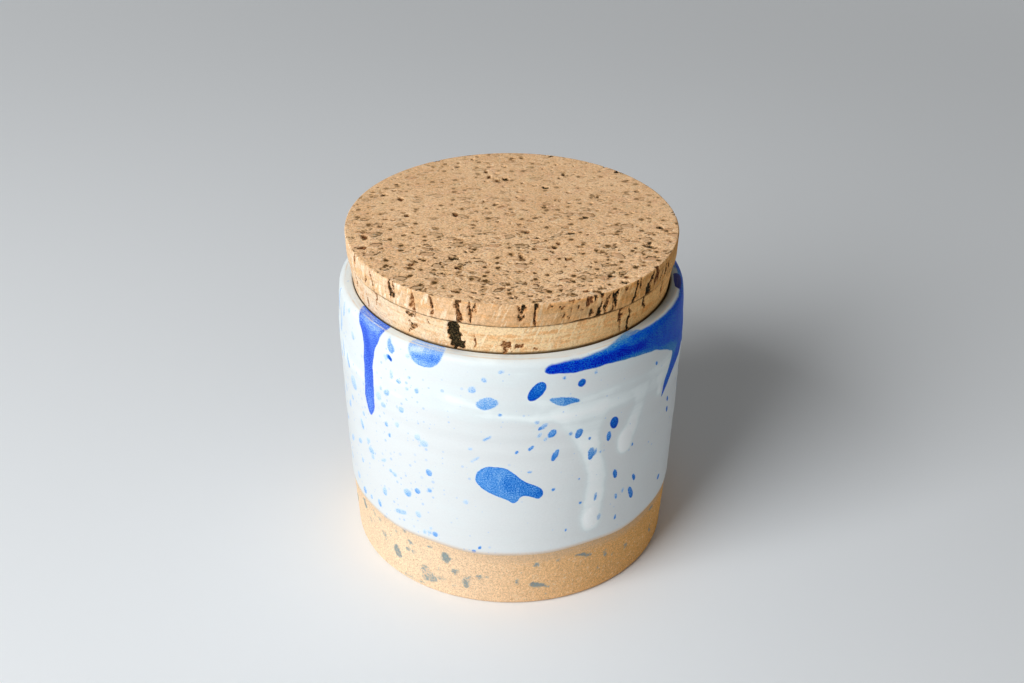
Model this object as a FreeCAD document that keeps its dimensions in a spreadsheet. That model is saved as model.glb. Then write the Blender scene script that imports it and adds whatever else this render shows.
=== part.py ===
"""Stoneware salt jar with a cork lid, in millimetres.

The jar stands on the XY plane with its axis on Z and its origin at the centre
of its foot. It is shut and can't be seen into, so below the lid it is solid:
only the mouth that the cork plug fills is cut. The lid is two discs of cork
glued face to face, and it rests on the floor of the mouth.
"""
import FreeCAD, Part
import math
import os
import Sketcher

DIMENSIONS = {
    # Foot and bare clay band.
    "foot_flat_radius": 39.9,
    "foot_rounding": 1.2,
    "band_top_radius": 42.15,
    "band_height": 16.6,
    # Glaze: it stands a little proud of the clay where it stops.
    "glaze_thickness": 0.25,
    "glaze_bead_height": 0.35,
    # Wall: it flares to the belly and draws in again below the lip.
    "wall_bow_radius": 1500.0,
    "belly_radius": 44.0,
    "belly_height": 64.0,
    "shoulder_bow_radius": 71.3,
    "neck_radius": 43.55,
    "neck_height": 72.0,
    # Lip.
    "lip_outer_rounding": 2.2,
    "lip_outer_radius": 41.5,
    "lip_outer_height": 74.2,
    "lip_inner_rounding": 0.5,
    "lip_height": 74.4,
    # Cork lid: a tapered plug, and a disc glued on top of it.
    "seat_gap": 0.1,
    "plug_floor_height": 65.4,
    "plug_foot_radius": 38.5,
    "plug_foot_rounding": 0.5,
    "plug_lip_radius": 39.8,
    "plug_top_radius": 40.9,
    "seam_height": 81.9,
    "cap_foot_radius": 41.15,
    "cap_top_radius": 41.4,
    "cap_thickness": 6.0,
    "cap_rounding": 0.35,
}


def add_dimensions(doc):
    """Put every driving dimension in the sheet, one named cell each."""
    sheet = doc.addObject("Spreadsheet::Sheet", "Dimensions")
    for row, (name, value) in enumerate(DIMENSIONS.items(), start=1):
        sheet.set(f"A{row}", name)
        sheet.set(f"B{row}", str(value))
        sheet.setAlias(f"B{row}", name)
    doc.recompute()


def span(*names):
    """Add up named dimensions, taking away each with a leading minus.

    Returns the sum and the formula that ties it to the sheet.
    """
    value = 0.0
    terms = []
    for name in names:
        alias = name.lstrip("-")
        sign = -1 if name.startswith("-") else 1
        value += sign * DIMENSIONS[alias]
        terms.append(f"{'-' if sign < 0 else '+'} Dimensions.{alias}")
    return value, " ".join(terms).lstrip("+ ")


AXIS = span()
GROUND = span()


def edge_geometry(first, last, bow_name):
    """Line between two points of an outline, or an arc that bows outward."""
    if bow_name is None:
        return Part.LineSegment(first, last)
    radius = DIMENSIONS[bow_name]
    chord = last - first
    sagitta = radius - math.sqrt(radius ** 2 - (chord.Length / 2) ** 2)
    outward = FreeCAD.Vector(chord.y, -chord.x, 0).normalize()
    return Part.Arc(first, (first + last) * 0.5 + outward * sagitta, last)


def hold(sketch, name, constraint, formula):
    """Add a named constraint and tie its value to the sheet."""
    sketch.addConstraint(constraint)
    sketch.renameConstraint(sketch.ConstraintCount - 1, name)
    sketch.setExpression(f"Constraints.{name}", formula)


def hold_point(sketch, index, radius, height):
    """Hold the first point of an edge at its radius and height."""
    for place, kind, axis in ((radius, "DistanceX", -2), (height, "DistanceY", -1)):
        value, formula = place
        if formula:
            distance = Sketcher.Constraint(kind, -1, 1, index, 1, value)
            hold(sketch, f"{kind}{index}", distance, formula)
        else:
            sketch.addConstraint(Sketcher.Constraint("PointOnObject", index, 1, axis))


def draw_outline(sketch, outline):
    """Draw a closed outline.

    Each entry is a point's radius and height, then the name of the radius of
    the arc that leads to the next point, or None for a straight edge.
    """
    points = [FreeCAD.Vector(radius[0], height[0], 0) for radius, height, _ in outline]
    count = len(outline)
    for index, (_, _, bow_name) in enumerate(outline):
        edge = edge_geometry(points[index], points[(index + 1) % count], bow_name)
        sketch.addGeometry(edge, False)
    for index in range(count):
        following = (index + 1) % count
        sketch.addConstraint(Sketcher.Constraint("Coincident", index, 2, following, 1))
    for index, (radius, height, bow_name) in enumerate(outline):
        hold_point(sketch, index, radius, height)
        if bow_name:
            bend = Sketcher.Constraint("Radius", index, DIMENSIONS[bow_name])
            hold(sketch, f"Bow{index}", bend, f"Dimensions.{bow_name}")


def plane_of(body, role):
    """One of the body's own origin planes."""
    for feature in body.Origin.OriginFeatures:
        if feature.Role == role:
            return feature
    raise RuntimeError(f"{body.Label} has no {role}")


def turned_body(doc, label, outline):
    """A body made by turning an outline once round the Z axis."""
    body = doc.addObject("PartDesign::Body", label)
    body.Label = label
    sketch = body.newObject("Sketcher::SketchObject", f"{label}_outline")
    sketch.AttachmentSupport = (plane_of(body, "XZ_Plane"), [""])
    sketch.MapMode = "FlatFace"
    draw_outline(sketch, outline)
    doc.recompute()
    turn = body.newObject("PartDesign::Revolution", f"{label}_turned")
    turn.Profile = sketch
    turn.ReferenceAxis = (sketch, ["V_Axis"])
    turn.Angle = 360.0
    sketch.Visibility = False
    body.Tip = turn
    doc.recompute()
    return body


def make_jar(doc):
    """The stoneware body, solid below the mouth that the plug fills."""
    lip_inner = ("plug_lip_radius", "seat_gap")
    outline = [
        (AXIS, GROUND, None),
        (span("foot_flat_radius"), GROUND, "foot_rounding"),
        (span("foot_flat_radius", "foot_rounding"), span("foot_rounding"), None),
        (span("band_top_radius"), span("band_height"), None),
        (
            span("band_top_radius", "glaze_thickness"),
            span("band_height", "glaze_bead_height"),
            "wall_bow_radius",
        ),
        (span("belly_radius"), span("belly_height"), "shoulder_bow_radius"),
        (span("neck_radius"), span("neck_height"), "lip_outer_rounding"),
        (span("lip_outer_radius"), span("lip_outer_height"), None),
        (span(*lip_inner, "lip_inner_rounding"), span("lip_height"), "lip_inner_rounding"),
        (span(*lip_inner), span("lip_height", "-lip_inner_rounding"), None),
        (span("plug_foot_radius", "seat_gap"), span("plug_floor_height"), None),
        (AXIS, span("plug_floor_height"), None),
    ]
    return turned_body(doc, "stoneware_jar", outline)


def make_plug(doc):
    """The lower cork disc: its taper wedges it in the mouth."""
    outline = [
        (AXIS, span("plug_floor_height"), None),
        (
            span("plug_foot_radius", "-plug_foot_rounding"),
            span("plug_floor_height"),
            "plug_foot_rounding",
        ),
        (
            span("plug_foot_radius"),
            span("plug_floor_height", "plug_foot_rounding"),
            None,
        ),
        (span("plug_lip_radius"), span("lip_height"), None),
        (span("plug_top_radius"), span("seam_height"), None),
        (AXIS, span("seam_height"), None),
    ]
    return turned_body(doc, "cork_plug", outline)


def make_cap(doc):
    """The upper cork disc, glued on the plug and a little wider."""
    outline = [
        (AXIS, span("seam_height"), None),
        (span("cap_foot_radius"), span("seam_height"), None),
        (
            span("cap_top_radius"),
            span("seam_height", "cap_thickness", "-cap_rounding"),
            "cap_rounding",
        ),
        (
            span("cap_top_radius", "-cap_rounding"),
            span("seam_height", "cap_thickness"),
            None,
        ),
        (AXIS, span("seam_height", "cap_thickness"), None),
    ]
    return turned_body(doc, "cork_cap", outline)


def check(doc, bodies):
    """Stop if an object failed, a sketch is loose or a body isn't one valid solid."""
    for thing in doc.Objects:
        if "Invalid" in thing.State or "Error" in thing.State:
            raise RuntimeError(f"{thing.Label} failed: {thing.State}")
        if thing.isDerivedFrom("Sketcher::SketchObject") and not thing.FullyConstrained:
            raise RuntimeError(f"{thing.Label} is not fully constrained")
    for body in bodies:
        shape = body.Shape
        if shape.isNull() or not shape.isValid() or len(shape.Solids) != 1:
            raise RuntimeError(f"{body.Label} is not one valid solid")
        box = shape.optimalBoundingBox(False)
        print(
            f"{body.Label}: {shape.Volume / 1000:.1f} cm3, "
            f"{box.XLength:.2f} x {box.YLength:.2f} x {box.ZLength:.2f} mm, "
            f"from z {box.ZMin:.2f}"
        )


def main():
    doc = FreeCAD.newDocument("SaltJar")
    add_dimensions(doc)
    bodies = [make_jar(doc), make_plug(doc), make_cap(doc)]
    doc.recompute()
    check(doc, bodies)
    os.makedirs("parts", exist_ok=True)
    for body in bodies:
        body.Shape.exportStep(f"parts/{body.Label}.step")


main()
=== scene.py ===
"""Looks of the stoneware salt jar: glazed wall, bare clay band and laminated cork lid.

Lengths are in millimetres until a mesh is made. An angle is in degrees round the
jar: 0 faces the camera (-Y), and it grows to the right, towards +X.
"""
import math

import bpy
import numpy as np
from mathutils import Matrix, Vector


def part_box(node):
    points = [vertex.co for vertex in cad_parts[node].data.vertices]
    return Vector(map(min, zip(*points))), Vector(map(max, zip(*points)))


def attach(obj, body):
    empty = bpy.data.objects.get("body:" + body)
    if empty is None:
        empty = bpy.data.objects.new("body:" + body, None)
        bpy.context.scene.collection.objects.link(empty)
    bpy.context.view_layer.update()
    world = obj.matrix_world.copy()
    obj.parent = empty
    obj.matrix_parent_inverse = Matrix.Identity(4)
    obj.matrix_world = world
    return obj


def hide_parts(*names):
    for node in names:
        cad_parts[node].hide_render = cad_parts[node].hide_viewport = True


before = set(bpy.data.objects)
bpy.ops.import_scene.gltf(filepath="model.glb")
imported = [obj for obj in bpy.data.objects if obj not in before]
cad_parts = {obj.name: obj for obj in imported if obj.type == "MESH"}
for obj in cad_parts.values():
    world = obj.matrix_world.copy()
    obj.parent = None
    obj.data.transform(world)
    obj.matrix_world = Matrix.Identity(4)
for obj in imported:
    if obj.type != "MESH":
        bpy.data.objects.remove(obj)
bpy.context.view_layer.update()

MM = 0.001
TURN = 360.0
SEED = 7
# How far the looks stay inside the CAD box.
CLEARANCE = 0.02

# ---------------------------------------------------------------- sizes from the frame

jar_low, jar_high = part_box("stoneware_jar")
plug_low, plug_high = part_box("cork_plug")
cap_low, cap_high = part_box("cork_cap")

BELLY_RADIUS = (jar_high.x - jar_low.x) / 2 / MM - CLEARANCE
LIP_TOP = jar_high.z / MM
PLUG_FLOOR = plug_low.z / MM
PLUG_TOP_RADIUS = (plug_high.x - plug_low.x) / 2 / MM - CLEARANCE
SEAM = cap_low.z / MM
LID_TOP = cap_high.z / MM
CAP_RADIUS = (cap_high.x - cap_low.x) / 2 / MM - CLEARANCE

# Jar outline, bottom to top.
FOOT_FLAT = BELLY_RADIUS - 4.1
FOOT_ROUNDING = 1.2
BAND_TOP_RADIUS = BELLY_RADIUS - 1.85
BELLY_HEIGHT = LIP_TOP - 10.4
WALL_BOW = 0.18
NECK_HEIGHT = LIP_TOP - 2.4
NECK_DRAW = 0.45
LIP_ROUNDING = 2.2
LIP_STEPS = 11
LIP_INNER_ROUNDING = 0.5
MOUTH_RADIUS = BELLY_RADIUS - 4.08
GLAZE_EDGE = 17.1
GLAZE_THICKNESS = 0.27
# Vertices round a turned grid of the jar.
COLUMNS = 640

# Radius at which angles on the wall are turned into lengths.
ARC_RADIUS = 43.5


def arc_length(degrees, radius=ARC_RADIUS):
    return np.radians(degrees) * radius


def turn_between(angles, centre):
    """Shortest turn from centre to each angle, in degrees."""
    return (angles - centre + TURN / 2) % TURN - TURN / 2


def across_from(angles, centre, radius=ARC_RADIUS):
    """Length along the wall to the right of a centre's angle."""
    return arc_length(turn_between(angles, centre), radius)


def column_angles(columns):
    """Angles of the columns of a turned grid, the seam at the back."""
    return -180 + TURN * np.arange(columns) / columns


def bearing(x, y):
    """Angle round the jar of places seen from above."""
    return np.degrees(np.arctan2(x, -y))


def spread(rows, columns):
    """One value a row, repeated over all the columns."""
    return np.repeat(rows[:, None], columns, 1)


def by_vertex(*parts):
    """Arrays over a grid as one vector a vertex."""
    return np.stack([part.ravel() for part in parts], 1)


def bell(x, centre, width):
    """Bell curve, 1 at its centre."""
    return np.exp(-(((x - centre) / width) ** 2))


def smooth(low, high, x):
    """Smooth step from 0 at low to 1 at high."""
    t = np.clip((x - low) / (high - low), 0.0, 1.0)
    return t * t * (3 - 2 * t)


def soft_min(a, b, width):
    """Minimum of two distances with their meeting rounded over a width."""
    h = np.clip(0.5 + 0.5 * (b - a) / width, 0.0, 1.0)
    return b + (a - b) * h - width * h * (1 - h)


def waves(places, size, seed, count=24):
    """Smooth random field of about -1 to 1 over places of any dimension.

    size is the length of its features, one number or one for each axis.
    """
    rng = np.random.default_rng(seed)
    places = np.asarray(places, float) / np.asarray(size, float)
    total = np.zeros(places.shape[0])
    for _ in range(count):
        direction = rng.normal(size=places.shape[1])
        direction *= rng.uniform(0.5, 1.3) * 2.2 / np.linalg.norm(direction)
        total += np.sin(places @ direction + rng.uniform(0, 2 * math.pi))
    return total / math.sqrt(count / 2)


def wall_waves(across, up, size, seed, count=24):
    """The same random field over a grid of places on a wall."""
    return waves(by_vertex(across, up), size, seed, count).reshape(up.shape)


def ring_waves(angles, lobes, seed):
    """Random field round the jar that closes on itself, about -1 to 1."""
    rng = np.random.default_rng(seed)
    total = np.zeros_like(angles, dtype=float)
    for lobe in lobes:
        total += np.sin(np.radians(angles) * lobe + rng.uniform(0, 2 * math.pi))
    return total / math.sqrt(len(lobes) / 2)


# ---------------------------------------------------------------- shapes of single marks


def ellipse(across, up, width, height, tilt=0.0):
    """Signed distance to an ellipse; tilt turns its top to the right."""
    c, s = math.cos(math.radians(tilt)), math.sin(math.radians(tilt))
    x = (across * c - up * s) / (width / 2)
    y = (across * s + up * c) / (height / 2)
    near = np.hypot(x, y)
    slope = np.hypot(x / (width / 2), y / (height / 2))
    return near * (near - 1) / np.maximum(slope, 1e-6)


def stroke(across, up, points):
    """Signed distance to a stroke through (across, up, radius) points."""
    nearest = np.full(across.shape, 1e9)
    for (x0, y0, r0), (x1, y1, r1) in zip(points[:-1], points[1:]):
        dx, dy = x1 - x0, y1 - y0
        t = ((across - x0) * dx + (up - y0) * dy) / max(dx * dx + dy * dy, 1e-9)
        t = np.clip(t, 0.0, 1.0)
        gap = np.hypot(across - x0 - t * dx, up - y0 - t * dy)
        nearest = np.minimum(nearest, gap - (r0 + (r1 - r0) * t))
    return nearest


def closed_curve(points, steps=7):
    """Smooth closed curve through points, as many short steps."""
    p1 = np.asarray(points, float)[:, None, :]
    p0, p2, p3 = np.roll(p1, 1, 0), np.roll(p1, -1, 0), np.roll(p1, -2, 0)
    t = np.linspace(0, 1, steps, endpoint=False)[None, :, None]
    bend = (2 * p0 - 5 * p1 + 4 * p2 - p3) * t**2 + (3 * p1 - p0 - 3 * p2 + p3) * t**3
    return (p1 + ((p2 - p0) * t + bend) / 2).reshape(-1, 2)


def outline(across, up, curve, reach=4.0):
    """Signed distance to a closed curve, for places within reach of it."""
    gap = np.full(across.shape, 9.0)
    low, high = curve.min(0) - reach, curve.max(0) + reach
    near = (across > low[0]) & (across < high[0]) & (up > low[1]) & (up < high[1])
    x, y = across[near], up[near]
    nearest = np.full(x.shape, 1e9)
    inside = np.zeros(x.shape, bool)
    for (x0, y0), (x1, y1) in zip(curve, np.roll(curve, -1, 0)):
        nearest = np.minimum(nearest, stroke(x, y, [(x0, y0, 0), (x1, y1, 0)]))
        crosses = (y0 > y) != (y1 > y)
        if y0 != y1:
            inside ^= crosses & (x < x0 + (y - y0) * (x1 - x0) / (y1 - y0))
    gap[near] = np.where(inside, -nearest, nearest)
    return gap


def outline_gap(angles, up, points, wobble=0.0):
    """Signed distance to an outline of (angle, height) points on the wall."""
    centre = points[0][0]
    curve = closed_curve([(across_from(a, centre), h) for a, h in points])
    return outline(across_from(angles, centre) + wobble, up, curve)


def stroke_gap(angles, up, points, wobble=0.0):
    """Signed distance to a stroke of (angle, height, radius) points on the wall."""
    centre = points[0][0]
    on_wall = [(across_from(a, centre), h, r) for a, h, r in points]
    return stroke(across_from(angles, centre) + wobble, up, on_wall)


# ---------------------------------------------------------------- meshes

# Gap between strips of the UV map, and between the strips and its sides.
UV_GAP = 0.006
UV_EDGE = 0.004


def make_mesh(name, vertices, faces, uv, fields, sharp_angle=None):
    """A smooth mesh object from millimetre vertices.

    faces is a list of integer arrays of quads and triangles; uv holds one
    array of corner places for each of them; fields maps attribute names to
    one vector per vertex.
    """
    mesh = bpy.data.meshes.new(name)
    corners = np.concatenate([f.ravel() for f in faces])
    counts = np.concatenate([np.full(len(f), f.shape[1]) for f in faces])
    starts = np.concatenate([[0], np.cumsum(counts)[:-1]])
    mesh.vertices.add(len(vertices))
    mesh.vertices.foreach_set("co", (np.asarray(vertices) * MM).ravel())
    mesh.loops.add(len(corners))
    mesh.loops.foreach_set("vertex_index", corners)
    mesh.polygons.add(len(counts))
    mesh.polygons.foreach_set("loop_start", starts)
    mesh.polygons.foreach_set("loop_total", counts)
    mesh.polygons.foreach_set("use_smooth", np.ones(len(counts), bool))
    layer = mesh.uv_layers.new(name="OFBake", do_init=False)
    places = np.concatenate([u.reshape(-1, 2) for u in uv])
    layer.uv.foreach_set("vector", places.ravel())
    for field, values in fields.items():
        attribute = mesh.attributes.new(field, "FLOAT_VECTOR", "POINT")
        attribute.data.foreach_set("vector", np.asarray(values, float).ravel())
    mesh.update(calc_edges=True)
    mesh.validate()
    if sharp_angle is not None:
        mesh.set_sharp_from_angle(angle=math.radians(sharp_angle))
    made = bpy.data.objects.new(name, mesh)
    bpy.context.scene.collection.objects.link(made)
    return made


def ring_quads(lower, upper):
    """Quads between two closed rings of vertex numbers, facing outward."""
    return np.stack([lower, np.roll(lower, -1), np.roll(upper, -1), upper], 1)


def fan(ring, centre, up):
    """Triangles from a closed ring to one centre vertex."""
    following = np.roll(ring, -1)
    middle = np.full(len(ring), centre)
    pair = (ring, following) if up else (following, ring)
    return np.stack([*pair, middle], 1)


def strip_uv(count, rows, strips, low, high):
    """Corner places of rows of ring quads, cut into strips laid one over another.

    rows holds each ring's place up a strip, 0 to 1. The strips share the
    image between the heights low and high.
    """
    per = count // strips
    step = np.arange(count)
    strip, along = step // per, (step % per) / per
    depth = (high - low) / strips
    faces = []
    for v0, v1 in zip(rows[:-1], rows[1:]):
        left, right = along, along + 1 / per
        base = low + strip * depth
        lower = base + v0 * (depth - UV_GAP)
        upper = base + v1 * (depth - UV_GAP)
        quad = [(left, lower), (right, lower), (right, upper), (left, upper)]
        faces.append(np.stack([np.stack(c, 1) for c in quad], 1))
    uv = np.concatenate(faces)
    uv[:, :, 0] = UV_EDGE + (1 - 2 * UV_EDGE) * uv[:, :, 0]
    return uv


def fan_uv(angles, centre, radius, up):
    """Corner places of a fan laid flat as a disc."""
    edge = np.stack([np.sin(np.radians(angles)), -np.cos(np.radians(angles))], 1)
    edge = np.array(centre) + radius * edge
    following = np.roll(edge, -1, axis=0)
    middle = np.broadcast_to(np.array(centre), edge.shape)
    pair = (edge, following) if up else (following, edge)
    return np.stack([*pair, middle], 1)


def arc(centre, radius, start, end, count):
    """Points of an arc in the outline's plane, from one angle to another."""
    turn = np.radians(np.linspace(start, end, count))
    return np.stack([centre[0] + radius * np.cos(turn), centre[1] + radius * np.sin(turn)], 1)


def turned_skin(radii, heights, angles):
    """Places over a turned grid."""
    turn = np.radians(angles)
    return by_vertex(radii * np.sin(turn), -radii * np.cos(turn), heights)


def turned_body(radii, heights, angles, top_height, base_height):
    """Vertices and faces of a turned grid, closed by a fan at its top and its base."""
    rows, columns = radii.shape
    skin = turned_skin(radii, heights, angles)
    vertices = np.vstack([skin, [[0, 0, top_height]], [[0, 0, base_height]]])
    number = np.arange(len(skin)).reshape(rows, columns)
    quads = np.concatenate([ring_quads(number[i], number[i + 1]) for i in range(rows - 1)])
    top = fan(number[-1], len(skin), True)
    return vertices, [quads, top, fan(number[0], len(skin) + 1, False)]


# ---------------------------------------------------------------- glazed wall


def wall_radius(height):
    """Radius of the glazed wall, without its small relief."""
    low = BAND_TOP_RADIUS + GLAZE_THICKNESS
    t = np.clip((height - GLAZE_EDGE) / (BELLY_HEIGHT - GLAZE_EDGE), 0, 1)
    lower = low + (BELLY_RADIUS - 0.1 - low) * t + 4 * WALL_BOW * t * (1 - t)
    drawn = np.clip((height - BELLY_HEIGHT) / (NECK_HEIGHT - BELLY_HEIGHT), 0, 1)
    return lower - NECK_DRAW * drawn**2


def glaze_edge(angles):
    """Height at which the glaze stops: it was dipped slightly askew."""
    tilt = 0.55 * np.cos(np.radians(angles - 175)) + 0.25
    return GLAZE_EDGE + tilt + 0.22 * ring_waves(angles, (3, 5, 8, 13), SEED)


# Blue marks with outlines of their own, as (angle, height) points: first the depth of
# the blue, the softness of its edge and its tone, then the outline, then strokes of
# another depth inside it. A tone of 1 is violet, -1 teal.
OUTLINES = [
    # Long drip at the left.
    (0.66, 0.13, 1.0, [
        (-62.5, 76.5), (-57, 72.5), (-54.5, 69), (-54, 59), (-54.5, 52), (-52, 48), (-49.5, 52),
        (-49, 60), (-48.5, 67), (-46, 72), (-45.5, 76.5), (-54, 77.5),
    ], [
        (0.78, [(-55.5, 71.5, 1.6), (-51.5, 69, 1.8), (-51, 58, 1.2)]),
        (0.40, [(-57.5, 74.5, 0.5), (-52, 74, 0.8), (-47.5, 74, 0.8)]),
        (0.56, [(-52, 52.5, 0.7), (-51.5, 50.5, 0.5)]),
    ]),
    # Half-round blot under the rim.
    (0.42, 0.22, 0.5, [
        (-33, 76.5), (-34, 74), (-31.5, 70.5), (-28, 69.5), (-24, 70.5), (-21.5, 73.5), (-22, 76.5),
        (-27.5, 77.5),
    ], [
        (0.62, [(-31, 72, 0.5), (-27.5, 72, 0.9), (-23.5, 72.5, 1.1)]),
        (0.10, [(-32, 73.5, 0.5), (-29.5, 74, 0.6)]),
    ]),
    # Big splash in the middle, with a tail at the right and a nub under it.
    (0.55, 0.13, 0.0, [
        (-11, 40.5), (-9, 43.5), (-5, 44.5), (0, 43.5), (5, 40), (9, 38.5), (11, 36.5),
        (9.5, 34.5), (6, 35.5), (4, 35.5), (2.5, 34), (1, 33.5), (-1, 34.5), (-6.5, 36.5), (-9.5, 38),
    ], [
        (0.82, [(9, 36.5, 1.6), (6.5, 37, 1.2)]),
        (0.66, [(6, 37.5, 2.4), (1, 39.5, 2.6)]),
    ]),
    # Long smear that rises to the right and covers the rim at the side.
    (0.60, 0.26, -1.0, [
        (10.5, 71.5), (12.5, 73), (20, 73.5), (29, 74), (37, 75.5), (43.5, 76.5), (48, 75),
        (58, 74.5), (72, 74), (86, 74.5), (101, 76), (104, 73), (98, 68.5), (90.5, 64.5), (88, 55),
        (87, 44), (84.5, 40.5), (82, 44), (82.5, 54), (80, 59), (74, 58), (65, 55), (59.5, 51),
        (60.5, 56), (65, 61), (62.5, 63.5), (53.5, 67), (41.5, 69), (30, 70), (20, 70), (12.5, 70.5),
    ], [
        (0.92, [(12.5, 71.5, 1.9), (20, 71.5, 2.0), (28, 71.5, 1.7), (38, 72, 1.6)]),
        (1.00, [(26, 71.5, 0.8), (37, 71.5, 1.2), (47, 71, 1.5), (55, 71, 1.4)]),
        (0.82, [(50, 70.5, 2.2), (66, 69.5, 4.6), (76, 67, 6.0), (88, 69, 4.4)]),
        (0.86, [(88, 69, 4.0), (97, 73, 2.6)]),
        (0.82, [(76, 61, 3.4), (66, 57.5, 2.4), (60, 53, 1.4)]),
        (0.84, [(41, 73.5, 0.7), (45, 74, 1.0), (55, 73.5, 1.0), (80, 73, 1.2)]),
    ]),
    # Spindle below the smear's tip.
    (0.46, 0.22, -0.3, [
        (12, 63.5), (15.5, 64), (19, 63.5), (22, 62), (19, 61.5), (15.5, 61.5),
    ], [
        (0.62, [(17.5, 62.5, 0.7), (21, 62, 0.5)]),
    ]),
    # Teardrop between the drip and the half-round blot.
    (0.44, 0.22, 0.6, [
        (-42, 74), (-42, 71), (-40, 70), (-39, 71.5), (-40.5, 73),
    ], [
        (0.66, [(-40, 71, 0.8)]),
    ]),
    # Thrown splash of the back, with a tail.
    (0.58, 0.14, 0.3, [
        (-124, 45), (-123.5, 49), (-118, 51), (-111, 47), (-104, 43), (-102, 40.5), (-105, 39),
        (-110, 41), (-114, 40), (-119, 42),
    ], [
        (0.80, [(-104.5, 41, 1.5), (-108.5, 42.5, 1.3)]),
        (0.68, [(-112, 44, 2.6)]),
    ]),
    # Heavy splash low on the back, run together from two drops.
    (0.60, 0.14, -0.3, [
        (163, 33), (165.5, 36), (171, 33), (178, 31), (182.5, 26.5), (180, 25), (175, 27), (171, 25),
        (169, 27.5),
    ], [
        (0.80, [(181, 26.5, 1.2), (176, 28.5, 1.4)]),
        (0.42, [(166.5, 33.5, 1.4)]),
    ]),
    # Half-round blot under the rim of the back.
    (0.46, 0.20, 0.5, [
        (127, 76.5), (127, 73), (130, 69.5), (134, 70), (137.5, 74), (138, 76.5), (132, 77.5),
    ], [
        (0.64, [(130, 71.5, 0.8), (134.5, 72, 1.0)]),
    ]),
]

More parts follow.
